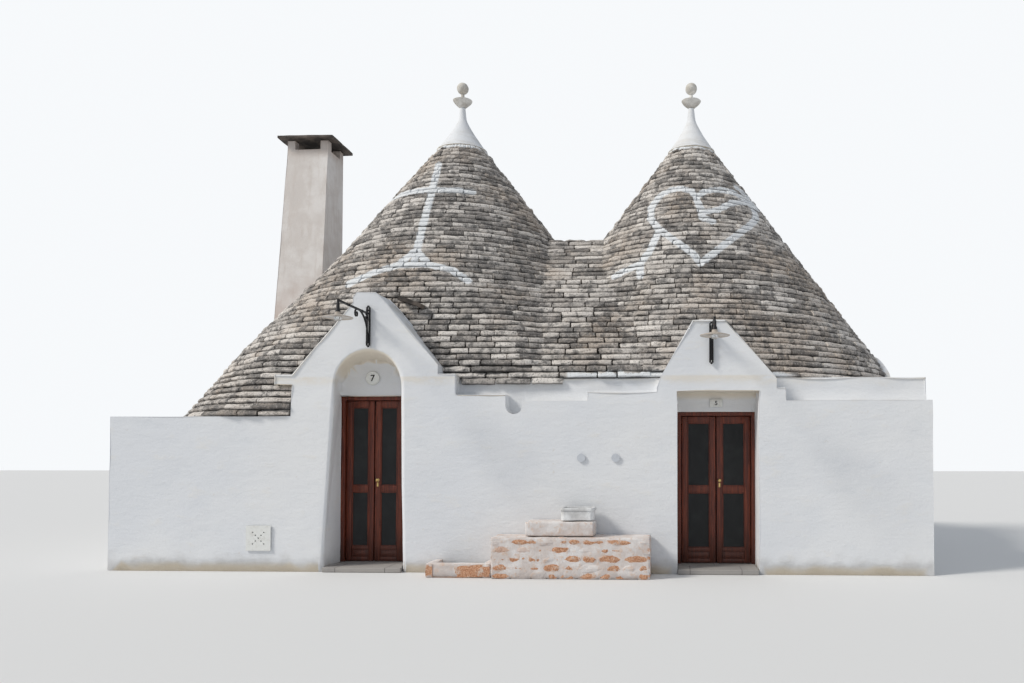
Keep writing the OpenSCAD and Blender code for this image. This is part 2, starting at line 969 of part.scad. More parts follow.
module seven_frame() { door_frame(seven_x, seven_w, seven_head_z); }
module seven_left_leaf() { leaf(seven_x, seven_w, -1, seven_head_z); }
module seven_left_screens() { screens(seven_x, seven_w, -1, seven_head_z); }
module seven_right_leaf() { leaf(seven_x, seven_w, 1, seven_head_z); }
module seven_right_screens() { screens(seven_x, seven_w, 1, seven_head_z); }
module seven_knob() { knob(seven_x, seven_w); }
module five_frame() { door_frame(five_x, five_w, five_head_z); }
module five_left_leaf() { leaf(five_x, five_w, -1, five_head_z); }
module five_left_screens() { screens(five_x, five_w, -1, five_head_z); }
module five_right_leaf() { leaf(five_x, five_w, 1, five_head_z); }
module five_right_screens() { screens(five_x, five_w, 1, five_head_z); }
module five_knob() { knob(five_x, five_w); }

// Lamps

// A round scroll of an iron bracket, in the plane of its arm
module scroll(x, y, z, r) {
    translate([x - iron_t / 2, y, z])
        rotate([0, 90, 0])
            difference() {
                cylinder(h = iron_t, r = r, $fn = 32);
                translate([0, 0, -1])
                    cylinder(h = iron_t + 2, r = r - iron_t / 2, $fn = 32);
            }
}

// An iron bar on the gable, an arm with the shade's holder, a quarter-round brace and two scrolls
module lamp_bracket(x, z) {
    bar_low = z - lamp_bar_drop;
    arm_low = z - iron_t / 2;
    bar_face = south - iron_t;
    color(iron_black) {
        block([x - iron_t, south - iron_t, bar_low], [x + iron_t, south, bar_low + lamp_bar_h]);
        block([x - iron_t / 2, south - lamp_reach, arm_low],
            [x + iron_t / 2, bar_face, z + iron_t / 2]);
        translate([x, south - lamp_reach + iron_t, arm_low - holder_h])
            cylinder(h = holder_h, r = holder_r, $fn = 24);
        scroll(x, bar_face - corner_scroll_r + 1, arm_low - corner_scroll_r + 1, corner_scroll_r);
        scroll(x, bar_face - brace_r - brace_scroll_r, arm_low - brace_scroll_r + 1, brace_scroll_r);
        intersection() {
            translate([x - iron_t / 2, bar_face - brace_r, z - brace_r])
                rotate([0, 90, 0])
                    difference() {
                        cylinder(h = iron_t, r = brace_r);
                        translate([0, 0, -1])
                            cylinder(h = iron_t + 2, r = brace_r - iron_t);
                    }
            block([x - iron_t, bar_face - brace_r, z - brace_r], [x + iron_t, bar_face, z]);
        }
    }
}

module lamp_shade(x, z) {
    color(iron_black)
        translate([x, south - lamp_reach + iron_t, z - iron_t / 2 - holder_h - shade_h])
            rotate_extrude()
                polygon([
                    [0, 0],
                    [shade_r, 0],
                    [shade_r, shade_rim],
                    [shade_turn_r, shade_turn_h],
                    [iron_t, shade_h],
                    [0, shade_h]
                ]);
}

module seven_lamp_bracket() { lamp_bracket(lamp_seven_x, lamp_seven_z); }
module seven_lamp_shade() { lamp_shade(lamp_seven_x, lamp_seven_z); }
module five_lamp_bracket() { lamp_bracket(lamp_five_x, lamp_five_z); }
module five_lamp_shade() { lamp_shade(lamp_five_x, lamp_five_z); }

// Wall fittings

panel_front = niche_back - panel_t;

// The round tile of door seven and the small oblong one of door five
module number_tiles() {
    color("ivory") {
        translate([seven_x, panel_front, (seven_head_z + rear_arch_z) / 2])
            rotate([90, 0, 0])
                cylinder(h = tile_t, r = number_r);
        translate([five_x, panel_front - tile_t / 2, (five_head_z + flat_z) / 2])
            cube([number_w, tile_t, number_h], center = true);
    }
}

// A tile with holes along both diagonals
module vent_tile() {
    color("ivory")
        translate([vent_x, south, vent_z])
            rotate([90, 0, 0])
                difference() {
                    translate([-vent_w / 2, -vent_w / 2, 0])
                        cube([vent_w, vent_w, tile_t]);
                    for (turn = [45, 135], i = [-2 : 2])
                        if (turn == 45 || i != 0)
                            rotate([0, 0, turn])
                                translate([i * vent_step, 0, -1])
                                    cylinder(h = tile_t + 2, r = vent_hole_r);
                }
}

module cover_plates() {
    color("lightgrey")
        for (x = [cover_x, cover_x + cover_step])
            translate([x, south, cover_z])
                rotate([90, 0, 0])
                    cylinder(h = tile_t, r = cover_r);
}

// Bench

module bench_base() {
    color(warm_stone)
        block([bench_left, south - bench_d, 0], [bench_right, south, bench_h]);
}

module bench_block() {
    color(warm_stone)
        block([block_left, south - block_d, bench_h], [block_right, south, bench_h + block_h]);
}

// An oblong with round corners
module round_oblong(w, d, r) {
    square([w, d - 2 * r], center = true);
    square([w - 2 * r, d], center = true);
    for (sx = [-1, 1], sy = [-1, 1])
        translate([sx * (w / 2 - r), sy * (d / 2 - r)])
            circle(r, $fn = 32);
}

// A shallow trough, cut out of one stone, with a small step in under its rim
module bench_basin() {
    color(warm_stone)
        translate([block_right - basin_w / 2, south - basin_t - basin_d / 2, bench_h + block_h])
            difference() {
                union() {
                    linear_extrude(basin_h - basin_t)
                        round_oblong(basin_w - basin_t / 2, basin_d - basin_t / 2, basin_r);
                    translate([0, 0, basin_h - basin_t])
                        linear_extrude(basin_t)
                            round_oblong(basin_w, basin_d, basin_r);
                }
                translate([0, 0, basin_t])
                    linear_extrude(basin_h)
                        round_oblong(basin_w - 2 * basin_t, basin_d - 2 * basin_t, basin_r / 2);
            }
}

module planter_kerb() {
    color(warm_stone)
        difference() {
            block([kerb_left, south - kerb_d, 0], [bench_left, south, kerb_h]);
            block([kerb_left + kerb_t, south - kerb_d + kerb_t, -1],
                [bench_left - kerb_t, south + 1, kerb_h + 1]);
        }
}

floor();
doorsteps();
front_wall_left();
front_wall_middle();
front_wall_right();
left_party_wall();
right_party_wall();
rear_wall();
cross_wall_front();
cross_wall_rear();
cross_arch();
gable_seven();
gable_five();
lintel_seven();
lintel_five();
parapets();
left_dome();
right_dome();
left_roof();
right_roof();
left_cap();
right_cap();
left_pinnacle();
right_pinnacle();
chimney_shaft();
chimney_cap();
seven_frame();
seven_left_leaf();
seven_left_screens();
seven_right_leaf();
seven_right_screens();
seven_knob();
five_frame();
five_left_leaf();
five_left_screens();
five_right_leaf();
five_right_screens();
five_knob();
seven_lamp_bracket();
seven_lamp_shade();
five_lamp_bracket();
five_lamp_shade();
number_tiles();
vent_tile();
cover_plates();
bench_base();
bench_block();
bench_basin();
planter_kerb();
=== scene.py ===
"""The double trullo house as it looks: laid roof slabs, limewash, painted signs, doors, lamps and bench."""
import json
import math
import random

import bmesh
import bpy
import numpy as np
from mathutils import Matrix, Vector, noise

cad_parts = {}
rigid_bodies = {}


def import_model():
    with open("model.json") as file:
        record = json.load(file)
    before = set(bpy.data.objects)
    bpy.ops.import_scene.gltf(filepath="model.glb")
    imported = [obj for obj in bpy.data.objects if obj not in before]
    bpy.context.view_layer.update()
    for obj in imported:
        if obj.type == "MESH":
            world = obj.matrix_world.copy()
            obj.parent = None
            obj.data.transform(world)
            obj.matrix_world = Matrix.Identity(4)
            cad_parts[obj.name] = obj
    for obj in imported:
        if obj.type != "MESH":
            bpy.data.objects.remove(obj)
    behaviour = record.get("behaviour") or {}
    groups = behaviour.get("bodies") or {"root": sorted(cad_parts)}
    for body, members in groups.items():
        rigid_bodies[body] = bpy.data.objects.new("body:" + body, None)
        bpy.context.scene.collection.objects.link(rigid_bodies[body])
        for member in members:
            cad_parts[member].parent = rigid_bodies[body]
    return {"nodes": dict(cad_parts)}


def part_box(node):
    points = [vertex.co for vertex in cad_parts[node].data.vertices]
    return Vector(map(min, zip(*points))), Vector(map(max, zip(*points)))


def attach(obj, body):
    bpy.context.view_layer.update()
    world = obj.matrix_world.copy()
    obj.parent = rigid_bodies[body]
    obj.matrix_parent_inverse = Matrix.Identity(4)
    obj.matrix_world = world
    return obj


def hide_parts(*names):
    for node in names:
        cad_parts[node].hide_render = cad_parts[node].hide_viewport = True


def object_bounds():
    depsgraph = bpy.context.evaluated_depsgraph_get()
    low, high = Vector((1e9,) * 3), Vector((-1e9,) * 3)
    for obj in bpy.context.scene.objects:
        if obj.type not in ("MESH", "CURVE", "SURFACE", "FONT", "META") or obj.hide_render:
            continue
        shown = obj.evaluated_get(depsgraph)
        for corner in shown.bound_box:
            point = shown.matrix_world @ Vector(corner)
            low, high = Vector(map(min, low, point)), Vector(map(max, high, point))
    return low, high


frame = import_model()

CAD_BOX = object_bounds()
HOUSE = "house"
TAU = 2 * math.pi

# Outlines of the roof: height over the ground, and radius or half depth, in metres
LEFT_LINE = ((1.92, 4.02), (2.95, 3.24), (4.43, 1.95), (6.40, 0.43))
RIGHT_LINE = ((1.92, 3.59), (3.68, 2.30), (6.32, 0.40))
SADDLE_LINE = ((1.92, 3.64), (3.70, 2.00), (4.80, 0.65))
COURSE = 0.08
# Width of the joint between two slabs of a course
JOINT = 0.010
# A course is first a run of points this far apart, and none is laid along fewer points than these
STEP = 0.02
LEAST_POINTS = 4
# A run's end shorter than the first gets no slab, nor does a length shorter than the second
LEAST_REST = 0.05
LEAST_SLAB = 0.04
# How far courses run into each other where two shapes meet
SEAM = 0.05
SADDLE_TOP = 4.80
EAVE_FACE = 0.16
SKIRT_RISE = 2.0
LOW_EAVE_Z = 1.92
LOW_REACH = 3.36
MAIN_REACH = 3.11
REAR_REACH = 3.36

# Places that come from the frame
WALL_LOW, WALL_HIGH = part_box("rear_wall")
WEST, EAST, PLATE_Z = WALL_LOW.x, WALL_HIGH.x, WALL_HIGH.z
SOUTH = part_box("front_wall_middle")[0].y
NICHE_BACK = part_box("gable_seven")[1].y
GABLE_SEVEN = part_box("gable_seven")
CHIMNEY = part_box("chimney_shaft")


def middle(node):
    """The middle of a node's box."""
    low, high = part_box(node)
    return (low + high) / 2


LEFT_X = middle("left_cap").x
RIGHT_X = middle("right_cap").x
VALLEY_X = (LEFT_X + RIGHT_X) / 2
SEVEN_X = middle("seven_frame").x
FIVE_X = middle("five_frame").x


# Node trees

def feed(tree, socket, value):
    """Links a value to a node's input, or sets the input to a plain number or colour."""
    if isinstance(value, Value):
        tree.links.new(value.socket, socket)
    elif socket.type == "RGBA":
        socket.default_value = (*value, 1.0)
    else:
        socket.default_value = value


def add_node(tree, kind, inputs=(), **settings):
    """Adds a node with its settings, and its inputs by name or number."""
    made = tree.nodes.new(kind)
    for key, setting in settings.items():
        setattr(made, key, setting)
    for key, value in dict(inputs).items():
        feed(tree, made.inputs[key], value)
    return made


def node_value(tree, kind, inputs=(), out=0, **settings):
    """Adds a node and gives one of its outputs."""
    return Value(tree, add_node(tree, kind, inputs, **settings).outputs[out])


def add_sockets(tree, direction, kind, *names):
    for name in names:
        tree.interface.new_socket(name=name, in_out=direction, socket_type="NodeSocket" + kind)


def enabled(sockets, name):
    """The one socket of this name that a node's settings leave in use."""
    return next(socket for socket in sockets if socket.enabled and socket.name == name)


class Value:
    """What comes out of a node; sums with it add the nodes that work them out."""

    def __init__(self, tree, socket):
        self.tree = tree
        self.socket = socket

    def math(self, operation, *others, **settings):
        inputs = dict(enumerate((self, *others)))
        return node_value(self.tree, "ShaderNodeMath", inputs, operation=operation, **settings)

    def vector(self, operation, *others, out=0):
        inputs = dict(enumerate((self, *others)))
        return node_value(self.tree, "ShaderNodeVectorMath", inputs, out, operation=operation)

    def scaled(self, factor):
        inputs = {0: self, "Scale": factor}
        return node_value(self.tree, "ShaderNodeVectorMath", inputs, operation="SCALE")

    def __add__(self, other):
        return self.math("ADD", other)

    def __sub__(self, other):
        return self.math("SUBTRACT", other)

    def __rsub__(self, other):
        return node_value(self.tree, "ShaderNodeMath", {0: other, 1: self}, operation="SUBTRACT")

    def __mul__(self, other):
        return self.math("MULTIPLY", other)

    def most(self, other):
        return self.math("MAXIMUM", other)

    def between(self, low, high):
        """0 up to low and 1 from high on, with a smooth step between them."""
        inputs = {"Value": self, "From Min": low, "From Max": high}
        return node_value(self.tree, "ShaderNodeMapRange", inputs, "Result", interpolation_type="SMOOTHSTEP")

    def axis(self, name):
        return node_value(self.tree, "ShaderNodeSeparateXYZ", {0: self}, name)


# Finishes

class Finish:
    """A material under construction: its tree, its shader and the point that it colours."""

    def __init__(self, name, roughness, **shader_inputs):
        self.material = bpy.data.materials.new(name)
        self.material.use_nodes = True
        self.tree = self.material.node_tree
        self.shader = self.tree.nodes["Principled BSDF"]
        for key, value in {"roughness": roughness, **shader_inputs}.items():
            self.shader.inputs[key.replace("_", " ").title()].default_value = value
        self.point = self.value("ShaderNodeTexCoord", out="Object")
        self.x, self.y, self.z = (self.point.axis(name) for name in "XYZ")

    def value(self, kind, inputs=(), out=0, **settings):
        return node_value(self.tree, kind, inputs, out, **settings)

    def noise(self, scale, detail=4.0, roughness=0.6, point=None, distortion=0.0):
        return self.value("ShaderNodeTexNoise", {
            "Vector": point or self.point, "Scale": scale, "Detail": detail, "Roughness": roughness,
            "Distortion": distortion})

    def stretched(self, x, y, z):
        return self.value("ShaderNodeMapping", {"Vector": self.point, "Scale": (x, y, z)})

    def mix(self, share, first, second):
        return self.value("ShaderNodeMix", {0: share, 6: first, 7: second}, 2, data_type="RGBA")

    def coats(self, ground, *coats):
        """A ground colour under coats, each with the share that it covers and its colour."""
        for share, colour in coats:
            ground = self.mix(share, ground, colour)
        return ground

    def flat(self, x, y):
        return self.value("ShaderNodeCombineXYZ", {"X": x, "Y": y})

    def normal(self):
        return self.value("ShaderNodeNewGeometry", out="Normal")

    def attribute(self, name):
        return self.value("ShaderNodeAttribute", out="Fac", attribute_name=name)

    def done(self, colour, *bumps):
        """Sets the colour, and bumps as pairs of height and depth, and gives the material."""
        feed(self.tree, self.shader.inputs["Base Color"], colour)
        normal = None
        for height, depth in bumps:
            inputs = {"Distance": depth, "Height": height}
            if normal:
                inputs["Normal"] = normal
            normal = self.value("ShaderNodeBump", inputs)
        if normal:
            feed(self.tree, self.shader.inputs["Normal"], normal)
        return self.material


def stroke_group():
    """A node group: the distance from a point to the straight stroke between two ends."""
    tree = bpy.data.node_groups.new("brush_stroke", "ShaderNodeTree")
    add_sockets(tree, "INPUT", "Vector", "Point", "From", "To")
    add_sockets(tree, "OUTPUT", "Float", "Distance")
    entry = tree.nodes.new("NodeGroupInput")
    point, start, end = (Value(tree, entry.outputs[name]) for name in ("Point", "From", "To"))
    along = end.vector("SUBTRACT", start)
    away = point.vector("SUBTRACT", start)
    reach, length = (other.vector("DOT_PRODUCT", along, out="Value") for other in (away, along))
    gap = away.vector("SUBTRACT", along.scaled(reach.math("DIVIDE", length, use_clamp=True)))
    add_node(tree, "NodeGroupOutput", {"Distance": gap.vector("LENGTH", out="Value")})
    return tree


# The signs painted on the cones: paths in metres across the cone, as the street sees it, and up
POST_AND_BARS = (
    ((-0.36, 5.97), (-0.46, 5.30), (-0.56, 4.67), (-0.64, 4.05)),
    ((-1.14, 5.43), (-0.70, 5.44), (-0.20, 5.41), (0.16, 5.40)),
    ((-1.50, 3.76), (-1.20, 3.92), (-0.84, 4.03), (-0.45, 4.03), (-0.14, 3.95), (0.08, 3.78)),
    ((-0.66, 4.25), (-0.84, 4.05)),
    ((-0.60, 4.25), (-0.46, 4.05)),
)
HEART = (
    ((0.07, 5.26), (0.00, 5.38), (-0.14, 5.44), (-0.32, 5.43), (-0.48, 5.34), (-0.60, 5.14),
     (-0.60, 4.92), (-0.47, 4.70), (-0.20, 4.44), (0.02, 4.24), (0.12, 4.08)),
    ((0.12, 4.08), (0.28, 4.22), (0.56, 4.50), (0.84, 4.78), (0.97, 4.98), (0.96, 5.18),
     (0.84, 5.34), (0.64, 5.43), (0.42, 5.44), (0.20, 5.38), (0.07, 5.26)),
    ((0.07, 5.26), (0.13, 5.06), (0.16, 4.88), (0.31, 4.81)),
    ((0.18, 4.98), (0.40, 5.04), (0.60, 5.20), (0.86, 5.30)),
    ((0.70, 5.58), (0.86, 5.46), (1.02, 5.26)),
    ((-0.47, 4.68), (-0.60, 4.30), (-0.72, 4.12), (-1.08, 3.96)),
    ((-0.72, 4.12), (-0.71, 3.91)),
)
STROKE_HALF = 0.052
# How far each cone's front is turned to face the street's middle, as a slope across it
LEFT_FACING = (0.966, 0.257)
RIGHT_FACING = (1.0, -0.017)


def painted(finish, axis_x, facing, paths):
    """1 where the sign's strokes are, 0 elsewhere."""
    across = (finish.x - axis_x) * facing[0] + finish.y * facing[1]
    flat = finish.flat(across, finish.z)
    group = stroke_group()
    nearest = None
    for path in paths:
        for start, end in zip(path, path[1:]):
            inputs = {"Point": flat, "From": (*start, 0.0), "To": (*end, 0.0)}
            gap = finish.value("ShaderNodeGroup", inputs, node_tree=group)
            nearest = nearest.math("MINIMUM", gap) if nearest else gap
    wavy = nearest + (finish.noise(18.0, 3.0) - 0.5) * 0.05
    inside = 1.0 - wavy.between(STROKE_HALF - 0.008, STROKE_HALF + 0.012)
    return inside * finish.y.between(-0.15, -0.30)


# From here to the east, the wall's limewash is drawn up over the lowest course
FLASHING_X = 0.62
# North of this, nothing belongs to the street front
FRONT_ONLY_Y = -2.9


def roof_stone(name, axis_x, facing, paths, tip_z):
    """Weathered limestone slabs with lichen, the sign and the cap's limewash over them, and painted shade at
    the foot of every slab.
    """
    finish = Finish(name, 0.92)
    own = finish.attribute("shade")
    patches = finish.noise(8.0, 5.0, 0.7)
    grain = finish.noise(46.0, 4.0, 0.75)
    stone = finish.coats(
        finish.mix(own, (0.27, 0.245, 0.225), (0.76, 0.715, 0.67)),
        (finish.noise(0.9, 3.0).between(0.44, 0.66) * 0.6, (0.47, 0.385, 0.31)),
        ((patches + own * 0.12).between(0.60, 0.46) * 0.78, (0.115, 0.11, 0.108)),
        (grain.between(0.56, 0.68) * 0.6, (0.86, 0.83, 0.79)),
        (grain.between(0.46, 0.36) * 0.8, (0.06, 0.057, 0.055)))
    drips = finish.z + finish.noise(9.0, 2.0) * 0.22
    cap_wash = drips.between(tip_z + 0.05, tip_z + 0.09)
    foot = drips.between(PLATE_Z + 0.21, PLATE_Z + 0.17) * finish.x.between(FLASHING_X, FLASHING_X + 0.05)
    foot = foot * finish.y.between(FRONT_ONLY_Y, FRONT_ONLY_Y - 0.1)
    wash = painted(finish, axis_x, facing, paths).most(cap_wash).most(foot)
    # Painted shade: the lower part of every slab is darkened nearly to black, for the shadow in the corner
    # where it sits on the course below. It lies over the sign and the limewash too.
    joint = (finish.attribute("rise") + patches * 0.20).between(0.36, 0.12)
    seen = finish.coats(stone, (wash * grain.between(0.30, 0.42), (0.80, 0.82, 0.84)),
                        (joint * 0.88, (0.032, 0.030, 0.030)))
    return finish.done(seen, (patches, 0.016), (grain, 0.007))


def rubble(name, light, dark, depth):
    """Rough stone, as on carved pieces and loose slabs."""
    finish = Finish(name, 0.92)
    patches = finish.noise(5.0, 5.0, 0.65)
    grain = finish.noise(45.0, 4.0, 0.7)
    stone = finish.mix(patches.between(0.38, 0.66), dark, light)
    stone = finish.mix(grain.between(0.45, 0.34) * 0.5, stone, dark)
    return finish.done(stone, (patches, depth), (grain, depth * 0.2))


def limewash():
    """Many coats of limewash, brushed by hand, with damp and splashes at its foot, and a painted warm
    reflection on faces that look down.
    """
    finish = Finish("limewash", 0.88)
    brushed = finish.noise(3.2, 5.0, 0.6, finish.stretched(1.0, 1.0, 2.6))
    up = finish.normal().axis("Z")
    height = finish.z + finish.noise(4.5, 4.0) * 0.5
    drip = finish.z.between(PLATE_Z - 0.14, PLATE_Z - 0.02) * brushed.between(0.34, 0.60)
    drip = drip * finish.z.between(PLATE_Z + 0.02, PLATE_Z - 0.01)
    drip = drip * finish.y.between(FRONT_ONLY_Y - 0.1, FRONT_ONLY_Y - 0.2)
    white = finish.coats(
        finish.mix(finish.noise(0.55, 3.0).between(0.34, 0.68), (0.745, 0.765, 0.80), (0.80, 0.81, 0.825)),
        (brushed.between(0.56, 0.74) * 0.35, (0.80, 0.775, 0.73)),
        (brushed.between(0.44, 0.28) * 0.25, (0.66, 0.69, 0.73)),
        (height.between(0.52, 0.20) * 0.6, (0.47, 0.46, 0.45)),
        (finish.noise(11.0, 5.0, 0.7).between(0.66, 0.72) * 0.4, (0.62, 0.58, 0.52)),
        # Painted reflection: faces that look down, such as soffits and the undersides of arches, are tinted
        # warm for light thrown up onto them from the street.
        (up.between(-0.15, -0.6) * 0.55, (0.80, 0.66, 0.44)),
        (drip * 0.4, (0.74, 0.64, 0.48)),
        (up.between(0.3, 0.8) * brushed.between(0.40, 0.62) * 0.45, (0.47, 0.43, 0.37)))
    fine = finish.noise(30.0, 4.0, 0.65)
    return finish.done(white, (brushed, 0.010), (fine, 0.0035), (finish.noise(110.0, 2.0), 0.0008))


def vault(name, axis_x):
    """Limewash inside a dome, rubble where it faces out under the slabs."""
    finish = Finish(name, 0.9)
    brushed = finish.noise(3.5, 5.0, 0.6)
    normal = finish.normal()
    away = normal.vector("DOT_PRODUCT", finish.flat(finish.x - axis_x, finish.y), out="Value")
    outside = away.between(-0.01, 0.01).most(normal.axis("Z").between(0.4, 0.5))
    wash = finish.mix(brushed.between(0.4, 0.7), (0.72, 0.74, 0.77), (0.80, 0.80, 0.80))
    seen = finish.mix(outside, wash, (0.12, 0.105, 0.09))
    return finish.done(seen, (brushed, 0.02), (finish.noise(40.0), 0.004))


def old_plaster():
    """The chimney's weathered cream plaster, streaked and darker at its foot and under its cap."""
    finish = Finish("old_plaster", 0.9)
    clouds = finish.noise(2.6, 5.0, 0.6)
    streaks = finish.noise(5.0, 4.0, 0.6, finish.stretched(2.2, 2.2, 0.35))
    cream = finish.coats(
        finish.mix(clouds.between(0.35, 0.66), (0.70, 0.65, 0.615), (0.82, 0.785, 0.76)),
        (streaks.between(0.50, 0.68) * 0.4, (0.62, 0.55, 0.50)),
        ((finish.z + clouds * 1.2).between(5.3, 4.2) * 0.4, (0.62, 0.47, 0.41)),
        (finish.z.between(6.55, 6.74) * 0.35, (0.38, 0.27, 0.20)))
    return finish.done(cream, (clouds, 0.012), (finish.noise(42.0, 4.0, 0.7), 0.005))


def warm_rubble(name, bare_share, bare_reach=1.25):
    """Limewashed rubble, where the middles of some stones show warm orange: what share of the stones,
    and how far out from their middles."""
    finish = Finish(name, 0.9)
    patches = finish.noise(13.0, 5.0, 0.7)
    grain = finish.noise(60.0, 4.0, 0.7)
    up = (finish.attribute("rise") - 0.5) * 2.1
    along = finish.attribute("reach") * 2.1
    rim = up * up + along * along + (patches - 0.5) * 3.2
    chosen = finish.attribute("shade").between(0.98 - bare_share, 1.02 - bare_share)
    bare = rim.between(bare_reach, bare_reach - 0.5) * chosen
    stone = finish.mix(grain.between(0.40, 0.62), (0.42, 0.19, 0.10), (0.66, 0.40, 0.26))
    stone = finish.mix(patches.between(0.52, 0.66), stone, (0.62, 0.53, 0.46))
    wash = finish.coats(
        finish.mix(finish.noise(5.0, 4.0).between(0.38, 0.64), (0.64, 0.575, 0.545), (0.77, 0.74, 0.73)),
        (patches.between(0.50, 0.66) * 0.7, (0.64, 0.46, 0.35)),
        ((finish.z + patches * 0.12).between(0.16, 0.06) * 0.6, (0.36, 0.31, 0.29)))
    return finish.done(finish.mix(bare, wash, stone), (patches, 0.012), (grain, 0.004))


def flagstone():
    """Worn grey limestone flags, with their joints."""
    finish = Finish("flagstone", 0.7)
    flags = finish.value("ShaderNodeTexBrick", {
        "Vector": finish.point, "Color1": (0.40, 0.375, 0.35), "Color2": (0.33, 0.315, 0.30),
        "Mortar": (0.16, 0.15, 0.14), "Scale": 1.0, "Mortar Size": 0.006, "Brick Width": 0.62,
        "Row Height": 0.42}, "Color", offset=0.5)
    clouds = finish.noise(3.0, 5.0)
    seen = finish.mix(clouds.between(0.4, 0.7) * 0.5, flags, (0.27, 0.26, 0.26))
    return finish.done(seen, (clouds, 0.006), (finish.noise(60.0), 0.002))


def mahogany():
    """Red-brown varnished wood, with the grain along the boards."""
    finish = Finish("mahogany", 0.5, coat_weight=0.12, coat_roughness=0.3)
    finish.shader.inputs["Specular IOR Level"].default_value = 0.35
    grain = finish.noise(18.0, 5.0, 0.6, finish.stretched(2.4, 2.4, 0.14), 0.6)
    pores = finish.noise(90.0, 3.0, 0.7, finish.stretched(1.0, 1.0, 0.05))
    wood = finish.coats(
        finish.mix(grain.between(0.34, 0.68), (0.085, 0.016, 0.008), (0.19, 0.040, 0.017)),
        (pores.between(0.50, 0.36) * 0.5, (0.022, 0.006, 0.004)),
        (finish.z.between(0.50, 0.12) * 0.45, (0.03, 0.014, 0.010)))
    return finish.done(wood, (grain, 0.0012), (pores, 0.0005))


def wire_cloth():
    """Dark woven wire: two crossed sets of wires, a few millimetres apart."""
    finish = Finish("wire_cloth", 0.55, metallic=0.3)
    wire_scale = 111.408  # a wire every 2.8 mm
    warp, weft = (
        finish.value("ShaderNodeTexWave", {"Vector": finish.point, "Scale": wire_scale}, "Fac",
                     wave_type="BANDS", bands_direction=direction)
        for direction in "XZ")
    weave = warp.most(weft)
    dark = finish.mix(finish.noise(5.0).between(0.4, 0.7), (0.0085, 0.0095, 0.0105), (0.019, 0.021, 0.022))
    seen = finish.mix(weave.between(0.6, 0.95) * 0.5, dark, (0.030, 0.032, 0.034))
    return finish.done(seen, (weave, 0.001))


def painted_iron():
    """Black paint over hammered iron, dulled by weather."""
    finish = Finish("painted_iron", 0.45, metallic=0.6)
    rust = finish.noise(28.0, 5.0, 0.7)
    paint = finish.mix(rust.between(0.60, 0.72), (0.012, 0.012, 0.014), (0.065, 0.030, 0.018))
    return finish.done(paint, (rust, 0.0015))


def enamel(name, light, rim, roughness=0.2):
    """Glazed or enamelled surface with fine crazing and a little grime."""
    finish = Finish(name, roughness, coat_weight=0.4)
    grime = finish.noise(16.0, 5.0, 0.65)
    crazing = finish.value("ShaderNodeTexVoronoi", {"Vector": finish.point, "Scale": 70.0}, "Distance")
    seen = finish.mix(grime.between(0.48, 0.70) * 0.5, light, rim)
    return finish.done(seen, (crazing, 0.0004), (grime, 0.0008))


def worn_brass():
    finish = Finish("worn_brass", 0.32, metallic=1.0)
    tarnish = finish.noise(60.0)
    seen = finish.mix(tarnish.between(0.45, 0.7), (0.62, 0.44, 0.18), (0.30, 0.19, 0.08))
    return finish.done(seen, (tarnish, 0.0006))


def lamp_glass():
    finish = Finish("lamp_glass", 0.08, transmission_weight=0.85)
    return finish.done((0.92, 0.94, 0.95), (finish.noise(14.0), 0.002))


# Making meshes

def placed(name, data):
    """A new object in the scene."""
    made = bpy.data.objects.new(name, data)
    bpy.context.scene.collection.objects.link(made)
    return made


def solid(name, bm):
    """A mesh object in the scene from a bmesh, which is used up."""
    mesh = bpy.data.meshes.new(name)
    bm.to_mesh(mesh)
    bm.free()
    return placed(name, mesh)


def evaluated(source):
    """The mesh of an object as its modifiers leave it."""
    graph = bpy.context.evaluated_depsgraph_get()
    return bpy.data.meshes.new_from_object(source.evaluated_get(graph))


def piece(name, bm, material, body=HOUSE, replaced=(), smooth=None):
    """Turns a bmesh into a finished piece that rides on its body."""
    return settle(solid(name, bm), material, body, replaced, smooth)


def settle(made, material, body=HOUSE, replaced=(), smooth=None):
    """Gives a finished object its material, its body and the nodes it stands for, and smooth shading
    across edges of less than so many degrees."""
    mesh = made.data
    if material is not None:
        mesh.materials.clear()
        mesh.materials.append(material)
    if smooth is not None:
        mesh.shade_smooth()
        mesh.set_sharp_from_angle(angle=math.radians(smooth))
    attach(made, body)
    if replaced:
        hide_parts(*replaced)
    return made


def copied(node):
    """A node's solid as a bmesh, with its loose triangles merged."""
    bm = bmesh.new()
    bm.from_mesh(frame["nodes"][node].data)
    bmesh.ops.remove_doubles(bm, verts=bm.verts, dist=0.0002)
    return bm


def spread(bm, by):
    """Widens a solid sideways and upwards, so that it bites into what stands round it."""
    low, high = extent(bm)
    for vert in bm.verts:
        vert.co.x += math.copysign(by, vert.co.x - (low[0] + high[0]) / 2)
        if vert.co.z > low[2] + 2 * by:
            vert.co.z += by


def joined(nodes, bites):
    """One closed mesh for solids that stand face to face; those with a bite are spread by it first."""
    parts = []
    for node in nodes:
        bm = copied(node)
        spread(bm, bites.get(node, 0.0))
        parts.append(solid("part_" + node, bm))
    first = parts[0]
    for other in parts[1:]:
        union = first.modifiers.new("join", "BOOLEAN")
        union.operation = "UNION"
        union.solver = "EXACT"
        union.object = other
    return baked(first, parts)


def baked(source, discarded):
    """The evaluated mesh of source as a bmesh; the helpers are deleted."""
    mesh = evaluated(source)
    bm = bmesh.new()
    bm.from_mesh(mesh)
    bpy.data.meshes.remove(mesh)
    for helper in discarded:
        bpy.data.objects.remove(helper)
    return bm


def flattened(bm):
    """Merges faces that lie in one plane."""
    bmesh.ops.dissolve_limit(bm, angle_limit=math.radians(1.5), verts=bm.verts, edges=bm.edges)


